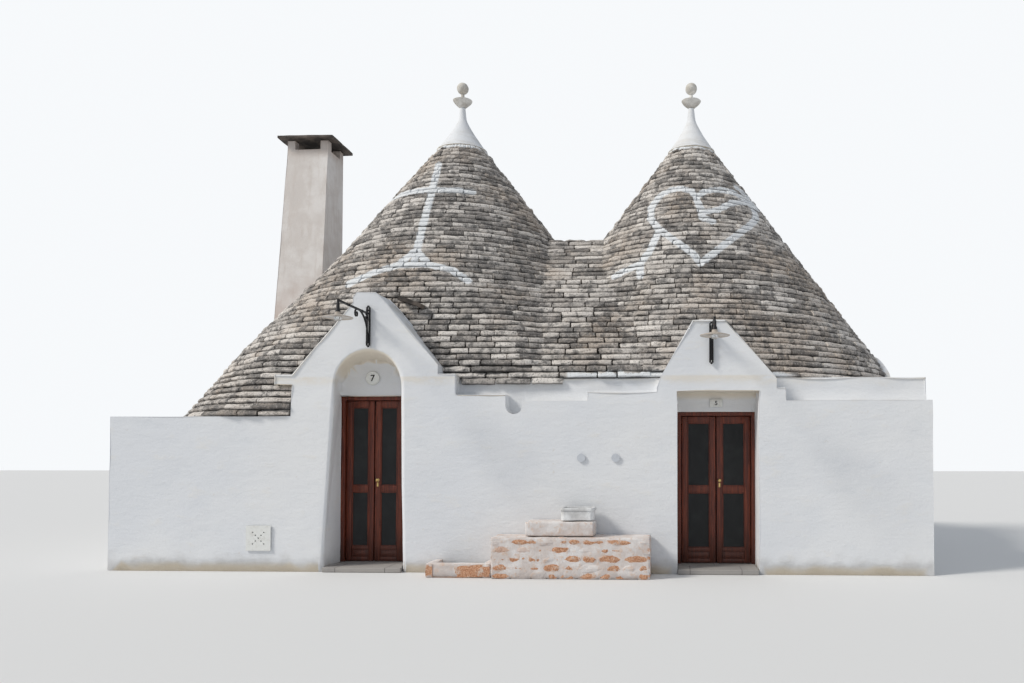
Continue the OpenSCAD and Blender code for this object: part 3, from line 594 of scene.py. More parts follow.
def rounded(bm, width, keep_sharp=lambda edge: False):
    """Rounds the sharp outer edges of a mesh."""
    flattened(bm)
    sharp = math.radians(40)
    edges = [
        edge for edge in bm.edges
        if edge.is_convex and edge.calc_face_angle(0) > sharp and not keep_sharp(edge)
    ]
    bmesh.ops.bevel(bm, geom=edges, offset=width, segments=2, profile=0.6, affect="EDGES", clamp_overlap=True)
    return bm


def extent(bm):
    """Lowest and highest place of a bmesh."""
    return ([pick(v.co[i] for v in bm.verts) for i in range(3)] for pick in (min, max))


def gridded(bm, cell):
    """Cuts a mesh along a grid, so that it can be made uneven."""
    low, high = extent(bm)
    for i in range(3):
        normal = Vector((0, 0, 0))
        normal[i] = 1
        count = int((high[i] - low[i]) / cell)
        for k in range(1, count + 1):
            place = Vector(low)
            place[i] = low[i] + k * (high[i] - low[i]) / (count + 1)
            bmesh.ops.bisect_plane(bm, geom=bm.verts[:] + bm.edges[:] + bm.faces[:], dist=1e-5,
                                   plane_co=place, plane_no=normal)
    return bm


def uneven(bm, depth, size, seed, fade=lambda point: 1.0, grounded=True):
    """Sinks the surface here and there, and keeps it in the box that it had."""
    bm.normal_update()
    low, high = extent(bm)
    moves = []
    for vert in bm.verts:
        spot = vert.co / size + Vector((seed, seed, seed))
        amount = 0.5 + 0.5 * noise.noise(spot) + 0.18 * noise.noise(spot * 3.1)
        moves.append(vert.normal * (-depth * max(0.0, min(1.2, amount)) * fade(vert.co)))
    for vert, move in zip(bm.verts, moves):
        if grounded and vert.co.z < 0.004:
            move.z = 0.0
        moved = vert.co + move
        vert.co = Vector(min(max(moved[i], low[i]), high[i]) for i in range(3))
    return bm


def block(bm, low, high, bevel, segments=2):
    """Adds a box between two corners, with rounded edges."""
    low, high = Vector(low), Vector(high)
    made = bmesh.ops.create_cube(bm, size=1.0)["verts"]
    for vert in made:
        vert.co = Vector(low[i] + (vert.co[i] + 0.5) * (high[i] - low[i]) for i in range(3))
    edges = {edge for vert in made for edge in vert.link_edges}
    bmesh.ops.bevel(bm, geom=list(edges), offset=bevel, segments=segments, profile=0.5, affect="EDGES")


def skinned(bm, rows, closed=False):
    """Faces between rows of points; closed rows run round, and the first and last are filled."""
    for near, far in zip(rows, rows[1:]):
        for k in range(len(near) if closed else len(near) - 1):
            after = (k + 1) % len(near)
            bm.faces.new((near[k], near[after], far[after], far[k]))
    if closed:
        bm.faces.new(rows[0][::-1])
        bm.faces.new(rows[-1])


def lathe(bm, profile, centre, sides=48):
    """Adds a turned shape from pairs of radius and height."""
    centre = Vector(centre)
    rings = []
    for radius, z in profile:
        angles = [TAU * k / sides for k in range(sides if radius > 1e-6 else 1)]
        rings.append([
            bm.verts.new(centre + Vector((radius * math.cos(angle), radius * math.sin(angle), z)))
            for angle in angles
        ])
    for under, over in zip(rings, rings[1:]):
        for k in range(sides):
            after = (k + 1) % sides
            corners = [under[k % len(under)], under[after % len(under)],
                       over[after % len(over)], over[k % len(over)]]
            bm.faces.new(list(dict.fromkeys(corners)))
    return bm


def strip(bm, path, half_width, half_thick, across=Vector((1, 0, 0))):
    """Adds a flat iron strip bent along a path that lies square to across."""
    rings = []
    for i, point in enumerate(path):
        ahead = path[min(i + 1, len(path) - 1)] - path[max(i - 1, 0)]
        side = ahead.cross(across).normalized()
        rings.append([
            bm.verts.new(point + across * half_width * a + side * half_thick * b)
            for a, b in ((-1, -1), (1, -1), (1, 1), (-1, 1))
        ])
    skinned(bm, rings, closed=True)


def outward(bm):
    """Turns all faces outwards."""
    bmesh.ops.recalc_face_normals(bm, faces=bm.faces)
    return bm


def turned(bm, place, angle=90, axis="X"):
    """Turns what was made round the origin, and takes it to its place."""
    matrix = Matrix.Translation(place) @ Matrix.Rotation(math.radians(angle), 4, axis)
    bmesh.ops.transform(bm, matrix=matrix, verts=bm.verts)


# Roof slabs

# How far a slab's broken face lies back at its foot, over its lip, and at its worn upper edge
SLAB_PROFILE = (0.07, 0.0, 0.035, 0.15)


def slab_shapes(count=12, seed=11):
    """Rough slabs of unit size, open at the back, whose broken outer face is at y = 0."""
    rng = random.Random(seed)
    folder = bpy.data.collections.new("slab_shapes")
    bpy.context.scene.collection.children.link(folder)
    columns, rows = 4, len(SLAB_PROFILE) - 1
    for index in range(count):
        bm = bmesh.new()
        face = []
        for row, set_back in enumerate(SLAB_PROFILE):
            line = []
            for column in range(columns + 1):
                x = column / columns - 0.5
                z = row / rows
                y = set_back + rng.uniform(0.0, 0.05)
                if column in (0, columns):
                    y += 0.05
                    x *= 0.97 + rng.uniform(-0.03, 0.03)
                else:
                    x += rng.uniform(-0.05, 0.05)
                z = 0.5 + (z - 0.5) * (0.95 + rng.uniform(-0.06, 0.04))
                line.append(bm.verts.new((x, y, z)))
            face.append(line)
        back = [[bm.verts.new((vert.co.x, 1.0, vert.co.z)) for vert in line] for line in (face[0], face[-1])]
        lines = [back[0], *face, back[1]]
        skinned(bm, lines)
        bm.faces.new([line[0] for line in lines[1:] + lines[:1]])
        bm.faces.new([line[-1] for line in lines[-2::-1] + lines[-1:]])
        mesh = bpy.data.meshes.new(f"slab_shape_{index}")
        bm.to_mesh(mesh)
        bm.free()
        for key, axis in (("rise", 2), ("reach", 0)):
            kept = mesh.attributes.new(key, "FLOAT", "POINT")
            kept.data.foreach_set("value", [vert.co[axis] for vert in mesh.vertices])
        folder.objects.link(bpy.data.objects.new(f"slab_shape_{index}", mesh))
    return folder


def slab_tree():
    """The node tree that lays one rough slab on every point, each a little different."""
    tree = bpy.data.node_groups.new("lay_slabs", "GeometryNodeTree")
    for kind, *names in (("Geometry", "Places"), ("Collection", "Shapes"),
                         ("Float", "Set back", "Tilt", "Roughness"), ("Int", "Kinds", "Seed"),
                         ("Material", "Finish")):
        add_sockets(tree, "INPUT", kind, *names)
    add_sockets(tree, "OUTPUT", "Geometry", "Slabs")
    given = {socket.name: Value(tree, socket) for socket in tree.nodes.new("NodeGroupInput").outputs}

    def add(kind, inputs=(), out=0, **settings):
        return node_value(tree, kind, inputs, out, **settings)

    def stored(name):
        made = add_node(tree, "GeometryNodeInputNamedAttribute", {"Name": name}, data_type="FLOAT")
        return Value(tree, enabled(made.outputs, "Attribute"))

    def chance(low, high, shift):
        inputs = {2: low, 3: high, "Seed": given["Seed"] + float(shift)}
        return add("FunctionNodeRandomValue", inputs, 1, data_type="FLOAT")

    turn, tilt = stored("turn"), given["Tilt"]
    back = chance(0.0, 1.0, 1) * given["Set back"]
    inward = {"X": turn.math("SINE") * back * -1.0, "Y": turn.math("COSINE") * back}
    lean = {"X": chance(-0.8, 0.2, 2) * tilt, "Y": chance(-0.16, 0.16, 3) * tilt,
            "Z": turn + chance(-0.4, 0.4, 4) * tilt}
    size = {"X": stored("span"), "Y": stored("depth"), "Z": stored("tall") * chance(0.90, 1.02, 5)}
    inward, lean, size = (add("ShaderNodeCombineXYZ", inputs) for inputs in (inward, lean, size))
    kind = add("FunctionNodeRandomValue", {4: 0, 5: given["Kinds"] - 1.0, "Seed": given["Seed"]}, 2,
               data_type="INT")
    laid = add("GeometryNodeInstanceOnPoints", {
        "Points": add("GeometryNodeSetPosition", {"Geometry": given["Places"], "Offset": inward}),
        "Instance": add("GeometryNodeCollectionInfo", {
            "Collection": given["Shapes"], "Separate Children": True, "Reset Children": True}),
        "Pick Instance": True, "Instance Index": kind,
        "Rotation": add("FunctionNodeEulerToRotation", {0: lean}), "Scale": size})
    shaded = add_node(tree, "GeometryNodeStoreNamedAttribute", {"Geometry": laid, "Name": "shade"},
                      data_type="FLOAT", domain="INSTANCE")
    feed(tree, enabled(shaded.inputs, "Value"), chance(0.0, 1.0, 6))
    real = add("GeometryNodeRealizeInstances", {"Geometry": Value(tree, shaded.outputs[0])})
    wave = add("ShaderNodeTexNoise", {
        "Vector": add("GeometryNodeInputPosition"), "Scale": 15.0, "Detail": 3.0}, "Color")
    chipping = wave.vector("SUBTRACT", (0.5, 0.5, 0.5)).scaled(given["Roughness"])
    rough = add("GeometryNodeSetPosition", {"Geometry": real, "Offset": chipping})
    broken = add("GeometryNodeSetShadeSmooth", {"Geometry": rough, "Shade Smooth": False})
    done = add("GeometryNodeSetMaterial", {"Geometry": broken, "Material": given["Finish"]})
    add_node(tree, "NodeGroupOutput", {"Slabs": done})
    return tree


def lay(name, tree, shapes, places, material, set_back, tilt, roughness, seed):
    """Lays slabs at places: middle, direction of the outer face, length, depth and height of each."""
    mesh = bpy.data.meshes.new(name + "_places")
    mesh.from_pydata([place[0] for place in places], [], [])
    for index, key in enumerate(("turn", "span", "depth", "tall"), 1):
        kept = mesh.attributes.new(key, "FLOAT", "POINT")
        kept.data.foreach_set("value", [place[index] for place in places])
    source = placed(name + "_places", mesh)
    laying = source.modifiers.new("lay", "NODES")
    laying.node_group = tree
    keys = {item.name: item.identifier for item in tree.interface.items_tree if item.in_out == "INPUT"}
    for label, value in (("Shapes", shapes), ("Set back", set_back), ("Tilt", tilt),
                         ("Roughness", roughness), ("Kinds", len(shapes.objects)), ("Seed", seed),
                         ("Finish", material)):
        laying[keys[label]] = value
    result = evaluated(source)
    result.name = name
    bpy.data.objects.remove(source)
    corners = np.empty(len(result.vertices) * 3, dtype=np.float32)
    result.vertices.foreach_get("co", corners)
    inside = np.clip(corners.reshape(-1, 3), CAD_BOX[0], CAD_BOX[1])
    result.vertices.foreach_set("co", inside.ravel())
    return placed(name, result)


def on_line(line, z):
    return float(np.interp(z, *zip(*line)))


def front_reach(x, z):
    """How far the roof may come forward at a height, over the eave in front of it."""
    reach, foot = (LOW_REACH, LOW_EAVE_Z) if x < GABLE_LEFT else (MAIN_REACH, PLATE_Z)
    return reach - max(0.0, z - foot - EAVE_FACE) / SKIRT_RISE


def rear_reach(z):
    return REAR_REACH - max(0.0, z - PLATE_Z - EAVE_FACE) / SKIRT_RISE


# Slope of gable seven begins inside its left shoulder stone
SHOULDER = 0.22
GABLE_LEFT = GABLE_SEVEN[0].x + SHOULDER
GABLE_OUTLINES = (
    ((GABLE_LEFT, 2.10), (GABLE_LEFT, 2.44), (-2.00, 3.33), (-1.96, 3.46), (-1.71, 3.46), (-0.92, 2.55),
     (-0.92, 2.44), (-0.70, 2.44), (-0.70, 2.10)),
    ((1.77, 2.10), (1.81, 2.36), (2.21, 3.08), (2.60, 3.08), (3.22, 2.36), (3.33, 2.25), (3.33, 2.10)),
)


CHIMNEY_TOP_W = 0.72
CHIMNEY_TOP_D = 0.65
# How far the ends of the courses run into gables and chimney
TUCK = 0.04
# How far the courses end before the face of a party wall
PARTY_GAP = 0.022


def inside_outline(outline, x, z):
    """True if a point lies inside an outline, by counting the edges over it."""
    inside = False
    for (x0, z0), (x1, z1) in zip(outline, outline[1:] + outline[:1]):
        if (x0 > x) != (x1 > x) and z < z0 + (z1 - z0) * (x - x0) / (x1 - x0):
            inside = not inside
    return inside


def hidden(x, y, z):
    """True well inside a gable or the battered chimney, which take the place of slabs."""
    if y < NICHE_BACK + TUCK:
        for outline in GABLE_OUTLINES:
            if inside_outline(outline, x - TUCK, z) and inside_outline(outline, x + TUCK, z):
                return True
    rise = (z - CHIMNEY[0].z) / (CHIMNEY[1].z - CHIMNEY[0].z)
    west = CHIMNEY[0].x + rise * (CHIMNEY[1].x - CHIMNEY[0].x - CHIMNEY_TOP_W)
    south = CHIMNEY[0].y + rise * (CHIMNEY[1].y - CHIMNEY[0].y - CHIMNEY_TOP_D)
    return west + TUCK < x < CHIMNEY[1].x - TUCK and south + TUCK < y < CHIMNEY[1].y - TUCK


def cone_course(axis_x, line, z, other_x, other_line):
    """Runs of one course round a cone, where it is not inside the other shapes."""
    middle_z = z + COURSE / 2
    radius = on_line(line, middle_z)
    other = on_line(other_line, middle_z)
    half = on_line(SADDLE_LINE, middle_z) if z < SADDLE_TOP - COURSE / 2 else 0.0
    steps = max(48, int(TAU * radius / STEP))
    runs = [[]]
    start = 0.0 if axis_x < other_x else math.pi
    for k in range(steps + 1):
        angle = start + TAU * k / steps
        x = axis_x + radius * math.cos(angle)
        y = min(max(radius * math.sin(angle), -front_reach(x, middle_z)), rear_reach(middle_z))
        towards = (x - axis_x) * (other_x - axis_x) > 0
        saddle = min(half, front_reach(x, middle_z) if y < 0 else rear_reach(middle_z)) - SEAM
        open_air = not (towards and abs(y) < saddle) and math.hypot(x - other_x, y) >= other - SEAM
        open_air = open_air and WEST + PARTY_GAP < x < EAST - PARTY_GAP
        if z < PLATE_Z - COURSE / 2:
            open_air = open_air and x < GABLE_LEFT and y < 0
        if open_air and not hidden(x, y, middle_z):
            runs[-1].append((x, y))
        elif runs[-1]:
            runs.append([])
    return [run for run in runs if len(run) >= LEAST_POINTS]


def saddle_course(z):
    """Runs of one course along both sides of the saddle, from cone to cone."""
    middle_z = z + COURSE / 2
    half = on_line(SADDLE_LINE, middle_z)
    left, right = on_line(LEFT_LINE, middle_z), on_line(RIGHT_LINE, middle_z)
    runs = []
    for side in (-1, 1):
        y = max(-half, -front_reach(0.0, middle_z)) if side < 0 else min(half, rear_reach(middle_z))
        xs = np.arange(LEFT_X, RIGHT_X, STEP)
        run = [(float(x), y) for x in xs
               if math.hypot(x - LEFT_X, y) > left - SEAM and math.hypot(x - RIGHT_X, y) > right - SEAM
               and not hidden(x, y, middle_z)]
        if len(run) >= LEAST_POINTS:
            runs.append(run if side < 0 else run[::-1])
    return runs


def split(run, z, rng, shortest, longest, joint, depth, tall=COURSE):
    """Divides a run into slabs of chance lengths, with a joint between them."""
    points = np.array(run)
    steps = np.hypot(*np.diff(points, axis=0).T)
    along = np.concatenate([[0.0], np.cumsum(steps)])
    total = along[-1]
    places = []
    at = 0.0
    while at < total - LEAST_REST:
        length = rng.uniform(shortest, longest)
        if total - at - length < shortest:
            length = total - at
        ends = [np.array([np.interp(s, along, points[:, 0]), np.interp(s, along, points[:, 1])])
                for s in (at + joint / 2, at + length - joint / 2)]
        at += length
        centre = (ends[0] + ends[1]) / 2
        reach = ends[1] - ends[0]
        if np.hypot(*reach) > LEAST_SLAB:
            places.append(((centre[0], centre[1], z), math.atan2(reach[1], reach[0]),
                           float(np.hypot(*reach)), depth, tall))
    return places


SLAB_DEPTH = 0.20
# Least and greatest length of a slab as shares of the longest at its height, and its depth
EAVE_SLABS = (0.55, 1.25, SLAB_DEPTH + 0.10)
OTHER_SLABS = (0.36, 1.0, SLAB_DEPTH)
LEANING_AT = Vector((-1.44, -2.74, 3.42))


def roof_places(cone_x, line, tip_z, other_x, other_line, seed):
    """Every slab of one cone."""
    rng = random.Random(seed)
    places = []
    for k in range(round((tip_z - LOW_EAVE_Z) / COURSE)):
        z = LOW_EAVE_Z + k * COURSE
        radius = on_line(line, z)
        longest = min(0.46, 0.14 + 0.16 * radius)
        least, most, depth = EAVE_SLABS if z < PLATE_Z + 1.5 * COURSE else OTHER_SLABS
        for run in cone_course(cone_x, line, z, other_x, other_line):
            places += split(run, z, rng, longest * least, longest * most, JOINT, depth)
    return places


def saddle_places(seed):
    """Every slab of the saddle; the long ones of its last course meet over its middle."""
    rng = random.Random(seed)
    places = []
    for k in range(round((SADDLE_TOP - PLATE_Z) / COURSE)):
        z = PLATE_Z + k * COURSE
        ridge = z > SADDLE_TOP - 1.5 * COURSE
        depth = on_line(SADDLE_LINE, z + COURSE / 2) if ridge else SLAB_DEPTH
        for run in saddle_course(z):
            places += split(run, z, rng, shortest=0.20, longest=0.50, joint=JOINT, depth=depth)
    return places


def roofs(tree, shapes):
    saddle = saddle_places(8)
    left = roof_stone("left_roof_stone", LEFT_X, LEFT_FACING, POST_AND_BARS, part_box("left_cap")[0].z)
    right = roof_stone("right_roof_stone", RIGHT_X, RIGHT_FACING, HEART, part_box("right_cap")[0].z)
    for name, cone, line, other, other_line, material, seed in (
            ("left_roof", LEFT_X, LEFT_LINE, RIGHT_X, RIGHT_LINE, left, 3),
            ("right_roof", RIGHT_X, RIGHT_LINE, LEFT_X, LEFT_LINE, right, 5)):
        tip_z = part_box(name.replace("roof", "cap"))[0].z
        places = roof_places(cone, line, tip_z, other, other_line, seed)
        places += [place for place in saddle if (place[0][0] - VALLEY_X) * (cone - VALLEY_X) > 0]
        if name == "left_roof":
            run = [(float(x), -MAIN_REACH) for x in np.arange(GABLE_SEVEN[1].x, FLASHING_X, STEP)]
            places += split(run, PLATE_Z - COURSE, random.Random(6), shortest=0.22, longest=0.50,
                            joint=JOINT, depth=0.12)
        made = lay(name + "_slabs", tree, shapes, places, material,
                   set_back=0.026, tilt=math.radians(5), roughness=0.028, seed=seed)
        settle(made, None, replaced=(name,))


# Walls

WALLS = (
    "front_wall_middle", "front_wall_left", "front_wall_right", "gable_seven", "gable_five",
    "lintel_seven", "lintel_five", "parapets", "left_party_wall", "right_party_wall", "rear_wall",
    "cross_wall_front", "cross_wall_rear", "cross_arch",
)

# How far pieces bite into the masonry round them before all are joined to one mass
BITES = {"lintel_seven": 0.006, "gable_five": 0.006, "lintel_five": 0.012}
# What bounds the edge of niche seven on the wall's face
ARRIS_LOW = Vector((-2.36, SOUTH - 0.002, -0.01))
ARRIS_HIGH = Vector((-1.33, SOUTH + 0.002, 2.74))
# Over this height the stonework under the plaster is rougher
ROUGH_Z = 2.18


def on_arris(point):
    return all(ARRIS_LOW[i] < point[i] < ARRIS_HIGH[i] for i in range(3))


# Plaster on the cut of the roof: its thickness, how far its edges dive into the party wall and
# over what length, how far it stands over the slabs, and its least height
PLASTER_T = 0.09
PLASTER_SINK = 0.03
PLASTER_FADE = 0.30
PLASTER_RISE = 0.03
PLASTER_H = 0.45


def limewashed_walls(material):
    """All the walls and gables as one mass, plastered by hand."""
    bm = joined(WALLS, BITES)
    bmesh.ops.remove_doubles(bm, verts=bm.verts, dist=0.001)
    bmesh.ops.dissolve_degenerate(bm, dist=0.0005, edges=bm.edges)
    flattened(bm)
    arris = [edge for edge in bm.edges if all(on_arris(v.co) for v in edge.verts)]
    bmesh.ops.bevel(bm, geom=arris, offset=0.055, segments=4, profile=0.5, affect="EDGES", clamp_overlap=True)
    rounded(bm, 0.022, lambda edge: all(v.co.z < 0.005 for v in edge.verts))
    gridded(bm, 0.18)
    uneven(bm, depth=0.013, size=0.55, seed=4.0, fade=lambda point: 2.3 if point.z > ROUGH_Z else 1.0)
    bmesh.ops.triangulate(bm, faces=bm.faces)
    even_shading(piece("limewashed_walls", bm, material, smooth=38, replaced=WALLS))


def party_gables(material):
    """Plaster over the cut of the roof where a neighbour stands, from the party walls up to the slabs."""
    for name, axis_x, line, face_x, foot_z in (
            ("left", LEFT_X, LEFT_LINE, WEST, LOW_EAVE_Z), ("right", RIGHT_X, RIGHT_LINE, EAST, PLATE_Z)):
        away = abs(face_x - axis_x)
        inward = math.copysign(1.0, axis_x - face_x)
        radii, heights = zip(*sorted((radius, z) for z, radius in line))
        south, north = (math.sqrt(on_line(line, z) ** 2 - away ** 2) for z in (foot_z, PLATE_Z))
        bm = bmesh.new()
        rings = []
        for y in np.linspace(-south, north, 48):
            over = float(np.interp(math.hypot(away, y), radii, heights)) + PLASTER_RISE
            under = min(over - PLASTER_H, PLATE_Z - 0.10)
            sunk = PLASTER_SINK * (1 - min(1.0, (y + south) / PLASTER_FADE, (north - y) / PLASTER_FADE))
            ring = [(sunk, z) for z in np.linspace(over, under + 0.17, 5)]
            ring += [(PLASTER_SINK, under), (PLASTER_T, under), (PLASTER_T, over)]
            rings.append([bm.verts.new((face_x + inward * x, y, z)) for x, z in ring])
        skinned(bm, rings, closed=True)
        uneven(outward(bm), depth=0.006, size=0.4, seed=9.0, grounded=False)
        bmesh.ops.triangulate(bm, faces=bm.faces)
        piece(name + "_party_gable", bm, material, smooth=40)


def vaults():
    """Both domes, with their cut at the party walls drawn back behind its plaster."""
    for side, axis_x in (("left", LEFT_X), ("right", RIGHT_X)):
        bm = copied(side + "_dome")
        for vert in bm.verts:
            vert.co.x = min(max(vert.co.x, WEST + PLASTER_SINK), EAST - PLASTER_SINK)
        bmesh.ops.triangulate(bm, faces=bm.faces)
        finish = vault(side + "_vault", axis_x)
        piece(side + "_vault", bm, finish, replaced=(side + "_dome",))


def even_shading(made):
    """Lets the broad faces set the shading of the narrow rounded edges between them."""
    made.modifiers.new("weights", "WEIGHTED_NORMAL").keep_sharp = True
    mesh = evaluated(made)
    made.modifiers.clear()
    made.data = mesh


def softened(node, material, edge, cell, depth, size, seed=1.0):
    """A node's solid with edges rounded by hand and faces that are sunk here and there."""
    bm = gridded(rounded(copied(node), edge), cell)
    uneven(bm, depth, size, seed)
    bmesh.ops.triangulate(bm, faces=bm.faces)
    even_shading(piece(node + "_worn", bm, material, replaced=(node,), smooth=40))


# Caps and pinnacles

# The caps' sweep and neck, and how far their foot lies inside the solid's
CAP_SWEEP = 1.2
CAP_STEPS = 22
CAP_INSET = 0.014
NECK_H = 0.20
NECK_R = 0.050
NECK_FOOT_R = 0.074
# The bowl's outline as shares of its radius and height, the stem over it and the ball
BOWL_H = 0.13
BOWL_SHAPE = (
    (0.40, 0.07), (0.48, 0.16), (0.61, 0.29), (0.74, 0.44), (0.85, 0.59), (0.93, 0.74), (0.985, 0.85),
    (1.0, 0.92), (0.90, 0.975),
)
STEM_H = 0.10
STEM_R = 0.030
BALL_R = 0.098


def cap(side, material, stone):
    """The limewashed cap in one sweep, and the carved bowl and ball on it."""
    low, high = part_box(side + "_cap")
    centre = middle(side + "_cap")
    foot = (high.x - low.x) / 2 - CAP_INSET
    top = high.z - low.z
    sweep_h = top - NECK_H
    profile = [(0.0, 0.0), (foot * 0.98, 0.0), (foot, 0.008), (foot * 0.985, 0.03)]
    for i in range(2, CAP_STEPS + 1):
        share = i / CAP_STEPS
        profile.append((NECK_FOOT_R + (foot - NECK_FOOT_R) * (1 - share) ** CAP_SWEEP, sweep_h * share))
    profile += [(NECK_FOOT_R * 0.6 + NECK_R * 0.4, sweep_h + NECK_H * 0.35), (NECK_R, top), (0.0, top)]
    bm = lathe(bmesh.new(), profile, (centre.x, centre.y, low.z), 64)
    uneven(outward(bm), depth=0.012, size=0.22, seed=centre.x, grounded=False)
    piece(side + "_cap_plaster", bm, material, replaced=(side + "_cap",), smooth=60)

    low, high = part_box(side + "_pinnacle")
    rim = (high.x - low.x) / 2
    top = high.z - low.z
    bowl = [(0.0, 0.0), (0.052, 0.0)] + [(rim * r, BOWL_H * z) for r, z in BOWL_SHAPE]
    bowl += [(0.060, BOWL_H), (STEM_R + 0.004, BOWL_H + 0.004), (STEM_R, BOWL_H + 0.012),
             (STEM_R, BOWL_H + STEM_H), (0.0, BOWL_H + STEM_H)]
    angles = np.linspace(0.0, math.pi, 19)
    ball = [(BALL_R * math.sin(a), top - BALL_R - BALL_R * math.cos(a)) for a in angles]
    bm = bmesh.new()
    for outline in (bowl, ball):
        lathe(bm, outline, (centre.x, centre.y, low.z), 40)
    uneven(outward(bm), depth=0.006, size=0.10, seed=centre.x + 3, grounded=False)
    piece(side + "_pinnacle_stone", bm, stone, replaced=(side + "_pinnacle",), smooth=50)


# Doors

LEAF_T = 0.042
STILE = 0.074
RAIL = 0.084
KICK_TOP = 0.190
MIDDLE_RAIL = 0.890
FOOT_RAIL = 0.050
BEAD = 0.012
# How far rails lie back from the stiles' faces, and beads and the raised panel from them
RAIL_BACK = 0.001
BEAD_BACK = 0.006
KNUCKLE_R = 0.007
KNUCKLE_H = 0.090
KNUCKLES = 5
STRAP_T = 0.004
LEAF_GAP = 0.006


def leaf(door, side, wood, iron, wire):
    """A door leaf of stiles, rails, mouldings and a raised panel, with hinges and wire screens."""
    node = f"{door}_{side}_leaf"
    body = f"{door}_{side}_door"
    low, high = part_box(node)
    y1 = low.y + LEAF_T
    hinge_x, way = (high.x - KNUCKLE_R, -1) if side == "right" else (low.x + KNUCKLE_R, 1)
    edge = hinge_x + way * LEAF_GAP
    width = (high.x - low.x) - LEAF_GAP - KNUCKLE_R
    height = high.z - low.z
    bm = bmesh.new()

    def timber(from_x, to_x, from_z, to_z, back=0.0, bevel=0.004):
        xs = sorted((edge + way * from_x, edge + way * to_x))
        block(bm, (xs[0], low.y + back, low.z + from_z), (xs[1], y1 - back, low.z + to_z), bevel)

    timber(0, STILE, 0, height)
    timber(width - STILE, width, 0, height)
    rail_gap = 0.0006
    inner = (STILE + rail_gap, width - STILE - rail_gap)
    foot, kick = FOOT_RAIL, KICK_TOP - FOOT_RAIL
    for rail in ((height - RAIL, height), (MIDDLE_RAIL, MIDDLE_RAIL + RAIL), (kick, KICK_TOP), (0, foot)):
        timber(*inner, *rail, RAIL_BACK)
    timber(*inner, foot - 0.01, kick + 0.01, 0.011, 0.002)
    timber(STILE + 0.022, width - STILE - 0.022, foot + 0.016, kick - 0.016, BEAD_BACK, 0.006)
    near, far = STILE + BEAD, width - STILE - BEAD
    for from_z, to_z in ((KICK_TOP, MIDDLE_RAIL), (MIDDLE_RAIL + RAIL, height - RAIL)):
        for sides in ((STILE, near, from_z, to_z), (far, width - STILE, from_z, to_z),
                      (near, far, from_z, from_z + BEAD), (near, far, to_z - BEAD, to_z)):
            timber(*sides, BEAD_BACK, 0.003)
    piece(node + "_joinery", outward(bm), wood, body, (node,), 35)

    bm = bmesh.new()
    top = high.y - KNUCKLE_R
    for z in (low.z + KNUCKLE_H, high.z - 2 * KNUCKLE_H):
        profile = [(0.0, 0.0)]
        for k in range(KNUCKLES):
            z0, z1 = (KNUCKLE_H * (k + part) / KNUCKLES for part in (0.02, 0.98))
            profile += [(KNUCKLE_R * 0.8, z0), (KNUCKLE_R, z0 + 0.001), (KNUCKLE_R, z1 - 0.001),
                        (KNUCKLE_R * 0.8, z1)]
        profile.append((0.0, KNUCKLE_H))
        lathe(bm, profile, (hinge_x, top, z), 16)
        for ends, from_y, to_y in (((hinge_x, edge + way * LEAF_GAP * 2), top - STRAP_T, top),
                                   ((edge + way * 0.003, edge + way * 0.009), y1 - 0.001, top - 0.001)):
            block(bm, (min(ends), from_y, z), (max(ends), to_y, z + KNUCKLE_H), 0.001, 1)
    piece(f"{door}_{side}_hinges", outward(bm), iron, body, (), 35)
    dress(f"{door}_{side}_screens", wire)


def frame_of(door, wood):
    """Jambs and head of a door frame, mitred by a bead, with a stop on their inside."""
    bm = rounded(copied(door + "_frame"), 0.005)
    piece(door + "_frame_joinery", bm, wood, replaced=(door + "_frame",), smooth=35)


def knob(door, brass):
    """A turned knob on its rose, with the lock's escutcheon under it."""
    low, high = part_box(door + "_knob")
    radius = (high.x - low.x) / 2
    depth = high.y - low.y
    profile = [(0.0, 0.0), (radius, 0.0), (radius, 0.003), (radius * 0.86, 0.006), (radius * 0.5, 0.008),
               (radius * 0.36, 0.012), (radius * 0.36, depth * 0.45)]
    profile += [(radius * (0.36 + 0.64 * math.sin(a)), depth * (0.45 + 0.275 * (1 - math.cos(a))))
                for a in np.linspace(0.2, math.pi * 0.86, 10)]
    profile.append((0.0, depth * 0.996))
    bm = lathe(bmesh.new(), profile, (0, 0, 0), 32)
    block(bm, (-0.011, -0.085, 0.0), (0.011, -0.030, 0.003), 0.0012, 1)
    centre = middle(door + "_knob")
    turned(bm, (centre.x, high.y, centre.z))
    piece(door + "_knob_turned", outward(bm), brass, f"{door}_right_door", (door + "_knob",), 40)


# Lamps

# Length of the holder between a lamp's arm and its shade, and radius of the brace under the arm
HOLDER = 0.12
ARM_HALF = 0.011
BRACE_R = 0.315
GLOBE_R = 0.045


def spiral(y, z, start_radius, end_radius, turns, count=22):
    """Points of a scroll in the plane across the wall, from its top and outside to its inside."""
    points = []
    for k in range(count + 1):
        share = k / count
        radius = start_radius + (end_radius - start_radius) * share
        angle = math.pi / 2 + TAU * turns * share
        points.append(Vector((0, y + radius * math.cos(angle), z + radius * math.sin(angle))))
    return points


